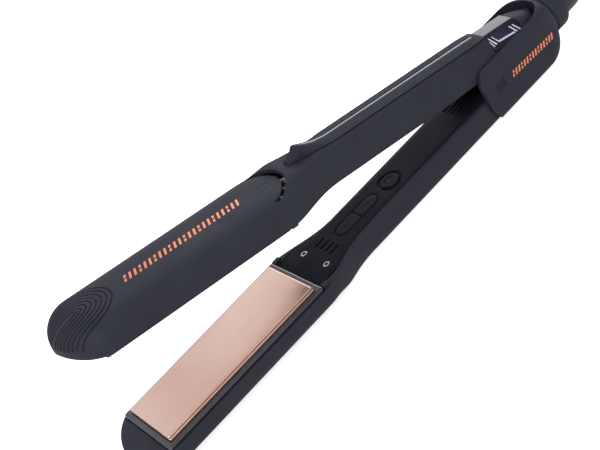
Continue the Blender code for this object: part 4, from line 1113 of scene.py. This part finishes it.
def cord_end():
    low, high = local_box("cord_swivel", "hub")
    r = high.y
    collar = [(0.5, low.x), (5.0, low.x), (5.0, 44.8), (r - 1.0, 44.85), (r - 0.55, 45.0),
              (r - 0.15, 45.6), (r, 46.6), (r, 52.4), (r - 0.2, 53.4), (r - 0.8, 54.6),
              (r - 1.7, 55.5), (r - 2.4, 55.9), (r - 3.2, high.x), (0.5, high.x)]
    collar = revolve("collar", collar, axis="X", steps=96)
    put(collar, "hub", "casing", ["cord_swivel"], "cord", sharp=40.0)

    low, high = local_box("strain_relief", "hub")
    r = high.y
    boot = [(0.5, low.x), (r - 0.6, low.x), (r - 0.2, low.x + 0.2), (r, low.x + 0.8),
            (r - 0.15, 65.4), (r - 0.35, 66.6)]
    for i in range(6):
        x, radius = 67.6 + 5.0 * i, r - 0.4 - 0.72 * i
        boot += [(radius - 0.1, x), (radius - 0.6, x + 0.25), (radius - 1.25, x + 0.7),
                 (radius - 1.3, x + 1.8), (radius - 0.8, x + 2.3), (radius - 0.35, x + 2.6),
                 (radius - 0.45, x + 3.8)]
    boot += [(5.1, 98.6), (4.8, 99.5), (4.3, high.x), (0.5, high.x)]
    boot = revolve("boot", boot, axis="X", steps=64)
    put(boot, "hub", "cable", ["strain_relief"], "cord", sharp=35.0)

    low, high = local_box("power_cord", "hub")
    r = high.z
    jacket = [(0.5, low.x), (r, low.x)] + [(r, x) for x in span(low.x + 4.0, high.x - 0.5, 8)]
    jacket += [(r, high.x - 0.3), (r - 0.25, high.x), (r - 0.8, high.x), (r - 0.8, high.x - 1.6),
               (0.5, high.x - 1.6)]
    jacket = revolve("cord_jacket", jacket, axis="X", steps=40)
    put(jacket, "hub", "cable", ["power_cord"], "cord")
    for mark, y in (("a", -1.15), ("b", 1.15)):
        points = [(high.x - x, y, 0.0) for x in (2.2, 1.0, 0.1)]
        conductor = tube("conductor_" + mark, points, 1.05, 20)
        put(conductor, "hub", "red_sleeve", body="cord")


# --- assembly

for arm in ("upper", "lower"):
    casing(arm)
    inner_panel(arm)
    panel_screws(arm)
    bezel(arm)
    heating_plate(arm)
vent_insert()
grip()
display()
light_dots()
arm_print()
controls()
hub_shell()
hub_print()
cord_end()

# CAD pieces that are seen as they are; "*" stands for both arms
CAD_FINISH = {
    "steel": "*_heater_clamp *_thermal_fuse power_switch plus_switch minus_switch hinge_pin",
    "spring": "*_plate_spring hinge_spring",
    # The hinge bracket's dark steel is painted shade for the shaded hinge interior.
    "shade_dark_steel": "hinge_bracket",
    "ceramic": "*_heater",
    "bead": "*_thermistor",
    "board": "control_board display_board",
    "screen": "lcd_module",
    "sleeve": "*_heater_leads",
    "cable": "crossover_lead",
}
for finish, patterns in CAD_FINISH.items():
    for pattern in patterns.split():
        for arm in ("upper", "lower") if "*" in pattern else ("",):
            node = frame["nodes"][pattern.replace("*", arm)]
            node.data.materials.clear()
            node.data.materials.append(MATERIALS[finish])


# --- stage

def make_floor():
    bm = bmesh.new()
    bmesh.ops.create_grid(bm, x_segments=2, y_segments=2, size=6.0)
    floor = new_object("floor", bm)
    floor.location = (0.0, 0.0, cad_box[0][2] - 0.0002)
    g = Graph("floor_paint")
    tint = g.mix(g.noise(3.0, 2.0), (0.86, 0.86, 0.87, 1.0), (0.89, 0.89, 0.9, 1.0))
    lift = g.math("MULTIPLY", g.add("ShaderNodeLightPath").outputs["Is Camera Ray"], 0.75)
    g.feed(g.shader, {"Emission Strength": lift, "Emission Color": (1.0, 1.0, 1.0, 1.0)})
    floor.data.materials.append(g.finish(tint, 0.9, g.bump(g.noise(400.0), 0.00002), specular=0.1))


def area_light(name, place, aim, size, size_y, watts, color=(1.0, 1.0, 1.0)):
    data = bpy.data.lights.new(name, "AREA")
    data.shape = "RECTANGLE"
    data.size = size
    data.size_y = size_y
    data.energy = watts
    data.color = color
    light = bpy.data.objects.new(name, data)
    light.location = place
    light.rotation_euler = (Vector(aim) - Vector(place)).to_track_quat("-Z", "Y").to_euler()
    bpy.context.scene.collection.objects.link(light)


def make_world():
    world = bpy.data.worlds.new("studio")
    world.use_nodes = True
    background = world.node_tree.nodes["Background"]
    background.inputs["Color"].default_value = (0.97, 0.98, 1.0, 1.0)
    background.inputs["Strength"].default_value = 0.95
    bpy.context.scene.world = world


def make_camera(place, turn, lens, shift_x, shift_y):
    data = bpy.data.cameras.new("camera")
    data.lens = lens
    data.sensor_width = 36.0
    data.clip_start = 0.01
    data.shift_x, data.shift_y = shift_x, shift_y
    camera = bpy.data.objects.new("camera", data)
    camera.location = place
    camera.rotation_euler = [math.radians(angle) for angle in turn]
    bpy.context.scene.collection.objects.link(camera)
    bpy.context.scene.camera = camera


make_floor()
make_world()
area_light("key", (-0.9, -0.9, 1.5), (-0.1, 0.0, 0.02), 0.9, 0.9, 22.0)
area_light("sheen", (0.95, 1.05, 0.46), (0.0, 0.0, 0.03), 1.0, 0.5, 6.0, (0.90, 0.94, 1.0))
make_camera((-0.3178, -0.5090, 0.3843 + hinge["pos_m"][2]), (50.481, 27.940, -40.657),
            lens=78.84, shift_x=-0.0003, shift_y=0.0008)
bpy.context.scene.view_settings.view_transform = "Standard"
